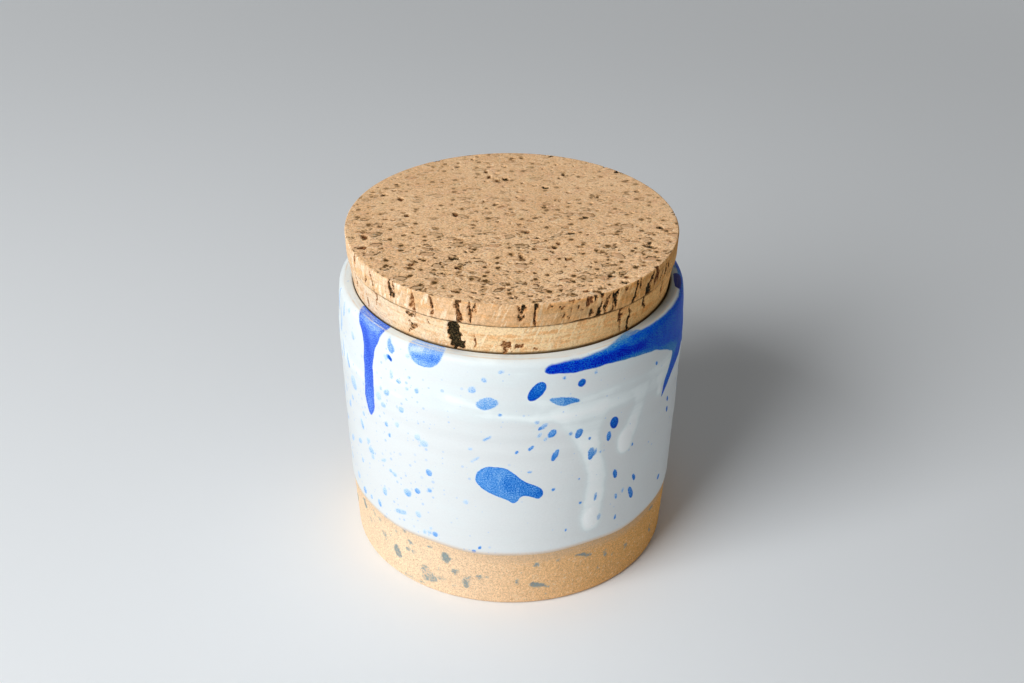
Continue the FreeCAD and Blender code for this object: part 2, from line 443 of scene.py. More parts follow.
# Rounder marks, as (angle, height, width, height, tilt, depth of the blue).
BLOTS = [
    # Between the long drip and the half-round blot.
    (-41, 68.5, 1.1, 2.2, -50, 0.84), (-42.9, 68.2, 1.3, 1.4, 0, 0.16),
    (-33.8, 71.2, 1.3, 1.3, 0, 0.15),
    # Upper front.
    (-7, 62.7, 3.3, 5.4, 74, 0.42), (-11.7, 66.1, 1.9, 1.7, 0, 0.3), (-8, 69.1, 1.6, 1.2, 60, 0.32),
    (-2.7, 71.5, 1.6, 0.9, -15, 0.26), (-2.9, 59.8, 1.1, 0.9, 0, 0.45), (8.2, 66.1, 3.2, 5.9, 33, 0.84),
    (16.8, 68.9, 1, 1, 0, 0.45), (27.2, 68.9, 0.9, 1.2, 0, 0.35), (22.5, 66.7, 1.9, 2.3, 35, 0.8),
    # Spray of slanted drops on the right of the middle.
    (8.2, 57.4, 1.3, 1.1, 40, 0.3), (10.6, 56.2, 1.1, 2.3, 48, 0.34), (9.4, 55.5, 0.8, 1.2, 40, 0.62),
    (9.2, 53.7, 0.9, 1.8, 42, 0.24), (13.3, 53.8, 1.9, 2.7, 35, 0.5), (11.2, 52.4, 1, 1.4, 30, 0.26),
    (6.7, 50, 0.9, 2.1, 42, 0.5), (19.3, 53.1, 1, 1.4, 0, 0.4), (22.1, 52.5, 1.9, 3.1, 18, 0.52),
    (26, 50.2, 0.8, 0.9, 0, 0.6), (35, 52.5, 2.6, 3.9, -8, 0.86), (33.3, 48.9, 1.3, 2.6, 0, 0.6),
    (14.5, 47.3, 1.5, 3.7, 24, 0.55), (26.6, 45.6, 1.6, 3.8, 0, 0.48), (28.3, 45.8, 0.8, 2, 10, 0.44),
    (30.3, 45.2, 0.7, 1, 0, 0.35),
    # Lower right.
    (14.4, 36.9, 1, 1.1, 0, 0.5), (22.9, 38.7, 0.7, 0.8, 0, 0.5), (24, 31.1, 0.8, 1, 0, 0.48),
    (29.5, 31.6, 0.8, 2.7, 4, 0.44), (31.5, 24.8, 1.1, 2.2, 0, 0.24), (19.3, 23.3, 0.6, 1, 0, 0.5),
    (37, 36.4, 1.3, 3.3, -10, 0.62), (38.3, 29, 0.9, 2.1, -8, 0.45), (41.3, 29.8, 0.7, 1.5, 0, 0.4),
    (38.5, 22.1, 0.8, 1.8, 0, 0.48), (46.4, 32, 1.1, 2.6, -24, 0.6), (45.2, 27.6, 1.7, 4.5, -20, 0.64),
    (43.9, 43.1, 0.8, 1.1, 0, 0.5), (53.7, 63.5, 0.9, 1.3, -15, 0.55), (65, 48.2, 1, 1.9, -20, 0.7),
    (65.6, 44.8, 1.1, 2.1, -20, 0.7), (64.2, 24.1, 1.8, 1.6, 0, 0.55),
    # Middle, left of the big splash.
    (-7.1, 52.7, 0.7, 2.7, 54, 0.42), (-11, 46.2, 0.6, 2.9, 52, 0.26), (-12.5, 49.1, 1.3, 0.8, 0, 0.34),
    (2, 48.9, 0.8, 1.1, 20, 0.5), (6.5, 43, 1.3, 0.6, 0, 0.36), (-14.3, 32.8, 1.5, 1.5, 0, 0.24),
    (-26.9, 39.3, 1.8, 2.2, -20, 0.44), (-27, 33.7, 1.3, 1.4, 0, 0.4), (-31.8, 32.1, 1.9, 1.9, 0, 0.46),
    (-36, 30.2, 2.4, 2.5, 0, 0.34), (-30.6, 48.9, 2, 1.9, 0, 0.2), (-28.4, 47.6, 2.4, 2.2, 0, 0.22),
    (-25.5, 20.2, 1.7, 1.6, 0, 0.44), (-27.9, 20.2, 1.3, 1.1, 0, 0.24),
    (-9.7, 18.8, 0.8, 1.4, 35, 0.48), (-12, 17.4, 1.2, 1.2, 0, 0.5),
    # Left of the middle, paler.
    (-42.7, 58.2, 1.6, 2.4, 55, 0.32), (-45.3, 58.6, 1, 1.3, 0, 0.22), (-46.8, 55.8, 2.1, 2.4, 0, 0.2),
    (-44.6, 54, 1.7, 1.8, 0, 0.28), (-36.7, 55.2, 1.8, 1.8, 0, 0.3), (-37.1, 63.2, 1.6, 1.4, 0, 0.32),
    (-40.2, 64.3, 1, 2.7, 0, 0.24), (-30.2, 62.5, 1.4, 1.7, 10, 0.3), (-34, 61.9, 1, 1, 0, 0.28),
    (-33, 65.5, 1, 0.9, 0, 0.28), (-39, 50, 1.4, 1.8, 0, 0.22), (-43.7, 48.6, 1.4, 1.6, 0, 0.34),
    (-42.6, 45.6, 1, 1.5, 0, 0.42), (-53.4, 36.6, 2.4, 2.3, 0, 0.26), (-52.9, 34.7, 1.5, 1.5, 0, 0.22),
    (-46.5, 36.5, 1, 2.3, 60, 0.26), (-43.2, 34.5, 1.3, 1.3, 0, 0.28), (-41.4, 34, 1.6, 1.3, 0, 0.26),
    (-55.1, 39, 1.9, 1.4, 0, 0.2), (-47.1, 26.6, 1.9, 3, 0, 0.26), (-39.6, 22.9, 1.6, 4.2, 72, 0.28),
    (-32, 24.7, 1.7, 2.1, 0, 0.24), (-51, 21, 1.5, 2.3, -20, 0.34), (-61.5, 20.3, 2, 2, 20, 0.34),
    (-48, 17.7, 1.4, 1.2, 0, 0.34), (-63, 53, 3.6, 4.2, 0, 0.22), (-62, 67, 2.4, 1.7, 50, 0.26),
    (-61.5, 36, 1.5, 2.8, 50, 0.26), (-70, 33, 2, 3.4, 50, 0.26), (-66.5, 22.8, 2, 2.6, 40, 0.22),
    # Soft upright streaks at the left.
    (-79, 70.5, 1.6, 6.5, 4, 0.3), (-74.5, 66.5, 1.8, 7, -6, 0.24), (-70.5, 71, 1.6, 4.5, 8, 0.22),
    (-82.5, 62, 1.8, 6, -8, 0.32), (-77, 57, 1.6, 5, 0, 0.26), (-72, 59.5, 1.4, 5.2, -10, 0.2),
    (-67, 58, 1.6, 4.4, -14, 0.3), (-65.5, 72.6, 1.6, 1.4, 0, 0.2), (-85, 50, 1.6, 4.6, 6, 0.28),
    (-80, 43, 1.8, 3.6, 0, 0.3), (-74, 47, 1.3, 3.2, -10, 0.24), (-69, 44, 1.5, 2.6, 10, 0.28),
    (-65.5, 47.5, 1.6, 1.8, 0, 0.24), (-76.5, 36.5, 1.8, 2.6, 0, 0.3), (-82, 27, 2, 3.4, 12, 0.32),
    (-74, 25.5, 1.4, 2.4, 0, 0.26), (-58.6, 42.6, 1.6, 3.2, -24, 0.26), (-57, 46.4, 1.2, 1.6, 0, 0.26),
    (-60.8, 30.2, 1.2, 1.6, 0, 0.3), (-56.6, 20.6, 1.3, 1.6, -20, 0.3), (-29.8, 19.8, 1, 1.3, 0, 0.24),
    (-27.2, 21.6, 0.9, 0.9, 0, 0.22),
    # Hidden back, in the manner of the front.
    (-96, 58, 5.2, 3.6, 70, 0.5), (-101, 54.6, 1.2, 1.6, 20, 0.4), (-91.5, 62.4, 1.1, 1.2, 0, 0.34),
    (-104, 31, 2.2, 4.2, 18, 0.66), (-108.6, 28.2, 1, 1.6, 10, 0.46), (-99.8, 35, 0.9, 1.1, 0, 0.4),
    (-126.5, 53.8, 1.4, 1.6, 30, 0.52), (-97.6, 45.4, 1, 1.4, 30, 0.44), (-131, 66, 2.2, 2.6, 20, 0.5),
    (-135.4, 62.6, 1, 1.3, 0, 0.3), (-147, 38, 2.2, 3.8, -24, 0.7), (-143.6, 42.8, 0.9, 1.3, -20, 0.5),
    (-149.6, 32.8, 0.8, 1.6, -20, 0.44), (-139.4, 34.6, 1.1, 1.2, 0, 0.34),
    (-163, 58.5, 4.4, 2.8, 62, 0.42), (-167.6, 61.8, 1.3, 1.1, 40, 0.3),
    (-171.6, 53.6, 1.2, 2.2, 40, 0.36), (-176.4, 45, 1.6, 2.8, 30, 0.52),
    (-179.6, 40.2, 0.9, 1.6, 30, 0.42), (-168.4, 42.2, 0.8, 1, 0, 0.48), (158, 61, 2, 3.4, -20, 0.64),
    (161.8, 55.8, 1.2, 2.4, -28, 0.46), (154.6, 53, 0.9, 1.8, -24, 0.5),
    (151, 48.2, 1.5, 2.8, -30, 0.54), (146, 42, 1.6, 3.8, 22, 0.58), (156.2, 45.6, 0.8, 1.2, 0, 0.4),
    (141.2, 36.4, 0.9, 1.7, 14, 0.46), (149.4, 34, 1.2, 1.3, 0, 0.34), (121, 34, 2.2, 3.2, 10, 0.52),
    (125.6, 30, 0.9, 1.4, 0, 0.44), (117, 38.6, 0.8, 1.2, 10, 0.4), (104, 46, 1.5, 3.4, -18, 0.62),
    (101.2, 41, 0.9, 2, -18, 0.5), (107.6, 51.8, 1.1, 1.6, -10, 0.42),
    (110.4, 60.2, 2.4, 1.8, 60, 0.34), (92, 30, 2.8, 3.2, 0, 0.46), (96.4, 26.2, 1, 1.6, -10, 0.4),
    (87.6, 35.6, 0.9, 1.1, 0, 0.48),
]

# Thrown drips of the back, and the blue pool on the rim at the right, deepened to near black as painted
# shade, as the depth of the blue and (angle, height, radius) points.
STROKES = [
    (0.72, [(-156, 77, 4), (-155.4, 70, 2.2), (-155, 60, 1.6), (-155.4, 52, 1.8)]),
    (0.62, [(-116, 71, 1.6), (-106, 69.6, 1.1), (-99, 69.4, 0.4)]),
    (1.50, [(80.5, 74.5, 1), (84, 74.6, 1.5), (88, 74.7, 1.3)]),
]

# Lower edge of the second coat of white round the jar, as (angle, height) points.
SECOND_COAT_EDGE = [
    (-150, 58.5), (-120, 56), (-90, 55.5), (-70, 55.5), (-57, 57), (-46, 58.6), (-36, 59.8),
    (-28, 60.4), (-18, 60), (-9, 59.8), (-3, 58.4), (5, 57.4), (14, 57.2), (22, 56), (30, 55.6),
    (42, 56.2), (50, 55.2), (60, 54), (68, 52.8), (90, 53.5), (120, 56.5), (150, 57.5), (180, 59.5),
]
# Runs of the front, as outlines of (angle, height) points.
RUN_OUTLINES = [
    [
        (11, 60.5), (17, 54), (22.5, 47), (25.5, 40), (25.5, 33), (24, 26.5), (25.5, 22), (29, 21),
        (32, 23), (33, 31), (33.5, 39), (31, 45), (30, 52), (33.5, 60.5), (22, 62.5),
    ],
    [
        (40.5, 60.5), (42.5, 56), (40.5, 51), (36.5, 47), (37.5, 43.5), (42, 42.5), (45, 47),
        (48.5, 54.5), (50.5, 60.5),
    ],
    [(53.5, 59.5), (55, 55), (56.5, 53.5), (58, 54), (59.5, 59.5)],
]
# Runs of the back, as (angle, height, radius) points.
RUNS = [
    [(-108, 57, 3), (-107.4, 49, 1.9), (-107.8, 40, 2)],
    [(-138, 58, 3.2), (-137, 52, 2.1)],
    [(-172, 59, 3.2), (-171, 48, 2), (-171.4, 37, 2)],
    [(112, 57, 3), (112.6, 50, 1.9), (112.2, 42, 2)],
    [(150, 58, 3), (150.4, 53, 2)],
]
# Thick ends of runs, as (angle, height, radius, strength).
RUN_BULBS = [
    (28.4, 25.4, 2.9, 1), (40.2, 45.4, 2.9, 0.9), (56.8, 54.6, 1.6, 0.6), (-107.8, 39.5, 2.6, 0.9),
    (-171.4, 36, 2.8, 1), (112.2, 41, 2.7, 0.9),
]
# Brushed rings of the second coat, as (angle, height, radius) points.
COAT_STREAKS = [
    [(-19.5, 63, 0.5), (-12.5, 62, 0.5), (-6, 60.5, 0.6), (1.5, 59, 0.6), (7.5, 58, 0.4)],
    [(22, 61.5, 0.4), (29, 62.5, 0.5), (39, 63, 0.5), (51, 61.5, 0.4), (64, 60.5, 0.3)],
    [(-44, 58.5, 0.4), (-31, 59, 0.6), (-22, 60, 0.5), (-12.5, 60, 0.4)],
    [(-58, 62.5, 0.4), (-40, 64, 0.5), (-24, 65.5, 0.5), (-6, 66, 0.4), (8, 64.5, 0.3)],
    [(-150, 62.5, 0.4), (-128, 64, 0.5), (-100, 62.5, 0.5)],
    [(90, 62, 0.4), (118, 64.5, 0.5), (140, 64, 0.5)],
]


def blue_fields(angles, up):
    """Distance to the nearest blue mark, and its depth, its edge's softness and its tone."""
    around = arc_length(angles)
    across_wobble, up_wobble = (
        0.06 * wall_waves(around, up, 1.9, seed) + 0.03 * wall_waves(around, up, 0.7, seed + 1)
        for seed in (SEED + 1, SEED + 3)
    )
    distance = np.full(angles.shape, 9.0)
    weight = np.full(angles.shape, 1e-6)
    looks = np.zeros((3, *angles.shape))

    def add(gap, *look):
        """Join one mark's distance and its depth, softness and tone to the rest."""
        nonlocal distance, weight
        distance = soft_min(distance, gap, 0.3)
        near = np.exp(-np.clip(gap, -1.5, 6.0) * 4.0)
        weight += near
        for total, value in zip(looks, look):
            total += near * value

    for blue, soft, tone, points, cores in OUTLINES:
        gap = outline_gap(angles, up + up_wobble, points, across_wobble)
        shade = np.full(angles.shape, blue)
        for core_blue, core in cores:
            inside = smooth(0.9, -1.1, stroke_gap(angles, up, core, across_wobble))
            shade += (core_blue - shade) * inside
        # The edge is softer where the glaze runs up to the rim.
        add(gap, shade, soft * (0.65 + 1.1 * smooth(70.5, 73.5, up)), tone)
    for angle, height, width, tall, tilt, blue in BLOTS:
        across = across_from(angles, angle) + across_wobble
        gap = ellipse(across, up - height + up_wobble, width, tall, tilt)
        # A drop is deeper at its lower end, where the colour settled.
        end = np.clip((up - height) / (tall / 2 + 0.3), -1, 1)
        add(gap, blue - 0.13 * end, 0.12 + 0.08 * (blue < 0.48) + 0.05 * (blue < 0.3))
    for blue, points in STROKES:
        add(stroke_gap(angles, up + up_wobble, points, across_wobble), blue, 0.16)
    return distance, *(looks / weight)


def second_coat(angles, up):
    """How thick the second coat of white is, 0 to 1, and the swell of its runs."""
    edge = np.interp(angles, *np.transpose(SECOND_COAT_EDGE), period=TURN)
    gap = edge + 0.5 * ring_waves(angles, (9, 14, 23), SEED + 5) - up
    coat = 0.36 * smooth(1.8, -1.8, gap)
    for points in COAT_STREAKS:
        coat += 0.14 * smooth(1.0, -0.5, stroke_gap(angles, up, points))
    runs = [outline_gap(angles, up, points) for points in RUN_OUTLINES]
    runs += [stroke_gap(angles, up, points) for points in RUNS]
    swell = np.zeros(angles.shape)
    # A run gets thicker on its way down.
    below = smooth(0.0, 9.0, edge - up)
    for run in runs:
        coat = np.maximum(coat, (0.52 + 0.36 * below) * smooth(1.5, -1.7, run))
        swell = np.maximum(swell, 0.16 * below * smooth(0.8, -2.4, run))
    for angle, height, radius, strength in RUN_BULBS:
        bulb = ellipse(across_from(angles, angle), up - height, 2 * radius, 2.7 * radius)
        coat = np.maximum(coat, 1.4 * strength * smooth(1.0, -1.8, bulb))
        swell = np.maximum(swell, 0.6 * strength * smooth(0.5, -2.6, bulb))
    return coat, swell


def throwing_lines(angles, height):
    """Low rings that the potter's fingers leave, slightly helical."""
    climb = height + angles / TURN * 3.0 * np.sin(np.radians(angles / 2)) ** 2
    round_jar = 6 * np.sin(np.radians(angles))
    fine = wall_waves(climb, round_jar, (1.9, 30.0), SEED + 6)
    return 0.6 * fine + wall_waves(climb, round_jar, (5.0, 40.0), SEED + 7)


def glaze_rows():
    """Outline of the glazed jar above its edge, as (radius, height), and its wall rows."""
    wall = np.arange(GLAZE_EDGE + 7.0, NECK_HEIGHT - 0.2, 0.46)
    centre = (wall_radius(NECK_HEIGHT) - LIP_ROUNDING, NECK_HEIGHT)
    lip = arc(centre, LIP_ROUNDING, 0, 84, LIP_STEPS)
    inner_centre = (MOUTH_RADIUS + LIP_INNER_ROUNDING, LIP_TOP - LIP_INNER_ROUNDING - 0.02)
    inner = arc(inner_centre, LIP_INNER_ROUNDING, 90, 180, 6)
    mouth = [(MOUTH_RADIUS, LIP_TOP - 1.6), (MOUTH_RADIUS - 1.3, PLUG_FLOOR)]
    top_middle = (lip[-1] + inner[0]) / 2 + np.array([0.0, 0.03])
    sides = np.stack([wall_radius(wall), wall], 1)
    return np.concatenate([sides, lip, [top_middle], inner, mouth]), len(wall)


def glaze_grid(edge, rows, up):
    """Radii, heights and places up over the grid, whose low rows follow the wavy edge."""
    share = np.linspace(0, 1, 15, endpoint=False)[:, None]
    low = edge + (rows[0, 1] - edge) * share
    bead = smooth(0.0, 0.7, low - edge + 0.12)
    low_radii = wall_radius(low) - GLAZE_THICKNESS * (1 - bead)
    rim_radii = np.full(COLUMNS, BAND_TOP_RADIUS - 0.05)
    radii = np.concatenate([[rim_radii], low_radii, spread(rows[:, 0], COLUMNS)])
    heights = np.concatenate([[edge + 0.02], low, spread(rows[:, 1], COLUMNS)])
    return radii, heights, np.concatenate([[edge], low, spread(up, COLUMNS)])


def glaze_thinness(angles, ups, edge, crest):
    """How thin the glaze is over the lip's crest and along its edge, and the painted shade on the lip.
    """
    thin_lip = bell(ups, crest, 0.13) + 0.5 * bell(ups, crest + 0.75, 0.14)
    thin_edge = smooth(1.9, 0.0, ups - edge)
    # The lip's inner half is darkened with painted shade, most of all on the side turned away from the
    # lamp.
    side = 0.12 + 0.68 * smooth(25, 75, angles) * smooth(150, 110, angles)
    return thin_lip, thin_edge, side * smooth(crest - 0.7, crest + 0.7, ups)


def spray_share(angles, ups):
    """How dense the fine blue spray is, thickest low on the left."""
    left = bell(angles, -47, 26) * smooth(74, 60, ups)
    back = 0.5 + 0.5 * np.cos(np.radians(angles - 190))
    return np.clip(0.16 + 0.84 * left + 0.3 * back, 0, 1)


def glaze_relief(ups, edge, lip_up, distance, coat, swell, lines):
    """Finger rings, the second coat, its runs, and the slight body of the blue."""
    outside = (ups < lip_up) & (ups > edge)
    fade_in = smooth(0.0, 1.5, ups - edge)
    fade_out = smooth(lip_up + 1.0, lip_up - 6.0, ups)
    relief = 0.055 * lines * fade_in * (0.35 + 0.65 * fade_out)
    relief += (0.05 * coat * fade_out + 0.20 * swell) * outside
    return relief + 0.03 * smooth(0.1, -0.6, distance) * outside


def glaze_uv(angles, mean_up):
    """UV places of the wall in two strips; what is out of sight gets little room."""
    shown = mean_up[:-2]
    place_up = (shown - shown[0]) / (shown[-1] - shown[0])
    uv_shown = strip_uv(COLUMNS, place_up, 2, 0.0, 0.93)
    uv_hidden = strip_uv(COLUMNS, np.linspace(0, 1, 3), 1, 0.935, 0.955)
    return [
        np.concatenate([uv_shown, uv_hidden]),
        fan_uv(angles, (0.02, 0.978), 0.016, True),
        fan_uv(angles, (0.06, 0.978), 0.016, False),
    ]


def make_glaze():
    """Glazed wall and lip, and the mouth down to the plug's floor."""
    angles = column_angles(COLUMNS)
    rows, wall_rows = glaze_rows()
    steps = np.hypot(*np.diff(rows, axis=0).T)
    up = rows[0, 1] + np.concatenate([[0], np.cumsum(steps)])
    edge = glaze_edge(angles)
    radii, heights, ups = glaze_grid(edge, rows, up)
    all_angles = np.broadcast_to(angles, heights.shape)
    distance, depth, softness, tone = blue_fields(all_angles, ups)
    coat, swell = second_coat(all_angles, ups)
    lines = throwing_lines(all_angles, heights)
    coat += 0.16 * lines * bell(heights, 60, 6)

    lip_up = up[wall_rows]
    relief = glaze_relief(ups, edge, lip_up, distance, coat, swell, lines)
    radii = np.minimum(radii + relief, BELLY_RADIUS)
    wobble = 0.10 * ring_waves(angles, (2, 3, 5), SEED + 8)
    lip_share = smooth(lip_up - 3.0, lip_up + 2.0, ups)
    heights = heights + lip_share * (wobble - 0.1) * (ups < up[-2])

    # The lip's arc reaches its crest one step before its end.
    crest = up[wall_rows + LIP_STEPS - 2] + 0.10 * ring_waves(angles, (4, 7, 11), SEED + 9)
    thin_lip, thin_edge, painted_lip_shade = glaze_thinness(all_angles, ups, edge, crest)
    # Painted shade inside the mouth, where the plug would shade the wall.
    inside = smooth(up[-3] - 0.42, up[-3] - 0.02, ups)
    vertices, faces = turned_body(radii, heights, angles, PLUG_FLOOR, GLAZE_EDGE)
    place = by_vertex(arc_length(all_angles), ups, spray_share(all_angles, ups))
    pad = np.zeros((2, 3))
    fields = {
        "marks": np.vstack([by_vertex(distance, depth, softness), pad + [9.0, 0, 0]]),
        "glaze": np.vstack([by_vertex(thin_lip, thin_edge, coat), pad]),
        "shade": np.vstack([by_vertex(tone, painted_lip_shade, inside), pad + [0, 0, 1.0]]),
        "place": np.vstack([place, pad]),
    }
    return make_mesh("jar_glaze", vertices, faces, glaze_uv(angles, ups.mean(1)), fields, 50)


# ---------------------------------------------------------------- bare clay band

# Splashes that reached the clay, as (angle, height, width, height, tilt, strength).
CLAY_BLOTS = [
    (-22, 13, 3.2, 3.1, 0, 1), (-43.5, 8, 2.4, 3.7, -20, 0.85), (-38, 11, 1.4, 1.3, 0, 0.8),
    (-36.5, 13.5, 1.6, 1.2, 0, 0.8), (-35.5, 11, 1.7, 1.3, 0, 0.45), (-19, 9, 1.9, 1.4, -60, 0.85),
    (-15, 6, 1.9, 2.8, 0, 0.85), (-10.5, 8.5, 1.9, 1.5, 0, 0.7), (-7.5, 9, 1, 0.7, 0, 0.5),
    (-31, 7, 1.6, 2.3, -30, 0.6), (-29, 5.5, 1.4, 2.6, -60, 0.45), (-29.5, 4, 4.6, 2.6, 0, 0.62),
    (-25, 5.5, 3.4, 1.6, 0, 0.48), (-30.5, 6, 3.4, 3.4, 30, 0.42), (-14.5, 7.5, 2.2, 1.8, 0, 0.42),
    (-60, 11, 1, 1.6, -20, 0.55), (-57, 12, 0.8, 1.2, -20, 0.5), (-50.5, 10.5, 1.5, 2.8, -24, 0.55),
    (-47, 12, 0.9, 0.9, 0, 0.4), (-20, 4, 0.8, 0.8, 0, 0.45), (-39, 1.5, 3, 0.9, 0, 0.5),
    (-33, 1.5, 1.5, 1, 0, 0.5), (-25, 8.5, 0.8, 0.9, 0, 0.5), (-28, 15, 0.8, 0.8, 0, 0.8),
    (-43, 15, 1.1, 1, 0, 0.5), (-53, 14.5, 1.8, 1.5, 0, 0.45), (-56, 15, 1.6, 1.8, 0, 0.4),
    (-39.5, 17, 1.4, 1.4, 0, 0.9), (-64, 14.5, 2.2, 3.4, -20, 0.8), (9.5, 13, 1, 1.2, 0, 0.9),
    (3, 7.5, 0.8, 0.8, 0, 0.9), (17, 14, 0.7, 0.9, 0, 0.6), (13, 2.5, 1.2, 0.5, 0, 0.5),
    (5, 11, 0.5, 0.5, 0, 0.5), (36, 11, 0.8, 2.5, -18, 0.9), (39.5, 9.5, 0.6, 0.9, 0, 0.5),
    (46, 9.5, 0.5, 1.1, -30, 1), (61.5, 15, 2.6, 0.8, 0, 0.9), (63.5, 7, 0.9, 3.2, -25, 0.9),
    (33.5, 7, 0.5, 0.8, 0, 0.6), (-78, 9, 2.2, 3, 15, 0.8), (-95, 12.5, 3, 2.2, 0, 0.8),
    (-124, 6.5, 2.2, 3.2, 25, 0.9), (-150, 11, 3.6, 2.6, 0, 0.8), (176, 8.5, 1.8, 2.6, -20, 0.8),
    (148, 12, 4.6, 1.5, 12, 0.9), (118, 6, 2, 2, 0, 0.8), (93, 12, 1.4, 2.8, -15, 0.8),
]
CLAY_STROKES = [
    (1.0, [(8.5, 6.5, 0.95), (10.5, 6, 0.75), (14.5, 5, 0.15)]),
    (0.95, [(24, 14, 0.35), (26.5, 13.5, 0.6), (29.5, 12.5, 0.3)]),
]


def clay_radius(height):
    """Radius of the bare band above its rounded foot."""
    share = (height - FOOT_ROUNDING) / (GLAZE_EDGE - 0.5 - FOOT_ROUNDING)
    foot = FOOT_FLAT + FOOT_ROUNDING
    return foot + (BAND_TOP_RADIUS - foot) * share


def clay_marks(angles, up):
    """Strength of the grey-green splashes on the clay."""
    around = arc_length(angles)
    across_wobble = 0.22 * wall_waves(around, up, 1.1, SEED + 20)
    up_wobble = 0.22 * wall_waves(around, up, 1.1, SEED + 21)
    strength = np.zeros(angles.shape)
    for angle, height, width, tall, tilt, most in CLAY_BLOTS:
        across = across_from(angles, angle) + across_wobble
        gap = ellipse(across, up - height + up_wobble, width, tall, tilt)
        strength = np.maximum(strength, most * smooth(0.55, -0.40, gap))
    for most, points in CLAY_STROKES:
        gap = stroke_gap(angles, up + up_wobble / 2, points, across_wobble / 2)
        strength = np.maximum(strength, most * smooth(0.32, -0.30, gap))
    return strength


def make_clay():
    """Bare band, from the foot's flat to just behind the glaze."""
    angles = column_angles(COLUMNS)
    edge = glaze_edge(angles)
    foot = arc((FOOT_FLAT, FOOT_ROUNDING), FOOT_ROUNDING, -90, 0, 7)
    regular = np.arange(FOOT_ROUNDING + 0.4, 13.0, 0.4)
    start = regular[-1] + 0.4
    upper = start + (edge + 0.6 - start) * np.linspace(0, 1, 14)[:, None]
    low_radii = np.concatenate([foot[:, 0], clay_radius(regular)])
    low_heights = np.concatenate([foot[:, 1], regular])
    upper_radii = np.minimum(clay_radius(upper), BAND_TOP_RADIUS)
    radii = np.concatenate([spread(low_radii, COLUMNS), upper_radii])
    heights = np.concatenate([spread(low_heights, COLUMNS), upper])
    all_angles = np.broadcast_to(angles, heights.shape)
    marks = clay_marks(all_angles, heights)
    # Turning lines and grog: a trimmed surface, slightly dragged.
    around = arc_length(all_angles)
    grain = wall_waves(around, heights, (0.9, 0.7), SEED + 22, 40)
    drag = wall_waves(around, heights, (14.0, 1.1), SEED + 23)
    at_seam = np.minimum((180 - np.abs(all_angles)) / 4, 1)
    relief = (0.018 * grain + 0.02 * drag) * at_seam * smooth(0.2, 1.6, heights)
    radii = radii + np.minimum(relief, 0.04)

    vertices, faces = turned_body(radii, heights, angles, GLAZE_EDGE + 1.0, 0)
    steps = np.hypot(np.diff(radii.mean(1)), np.diff(heights.mean(1)))
    up = np.concatenate([[0], np.cumsum(steps)]) / steps.sum()
    uv = [
        strip_uv(COLUMNS, up, 2, 0.0, 0.32),
        fan_uv(angles, (0.9, 0.42), 0.03, True),
        fan_uv(angles, (0.35, 0.665), 0.325, False),
    ]
    band = by_vertex(marks, heights, heights - edge)
    fields = {"band": np.vstack([band, [[0, GLAZE_EDGE, 1.0]], [[0, 0, -GLAZE_EDGE]]])}
    return make_mesh("jar_clay", vertices, faces, uv, fields, 40)


# ---------------------------------------------------------------- cork lid

# Cells along a side of the grid that makes the cap's top, and vertices round its edge.
DISC_CELLS = 284
RING = 4 * DISC_CELLS
PLUG_COLUMNS = 960
CAP_ROUNDING = 0.30

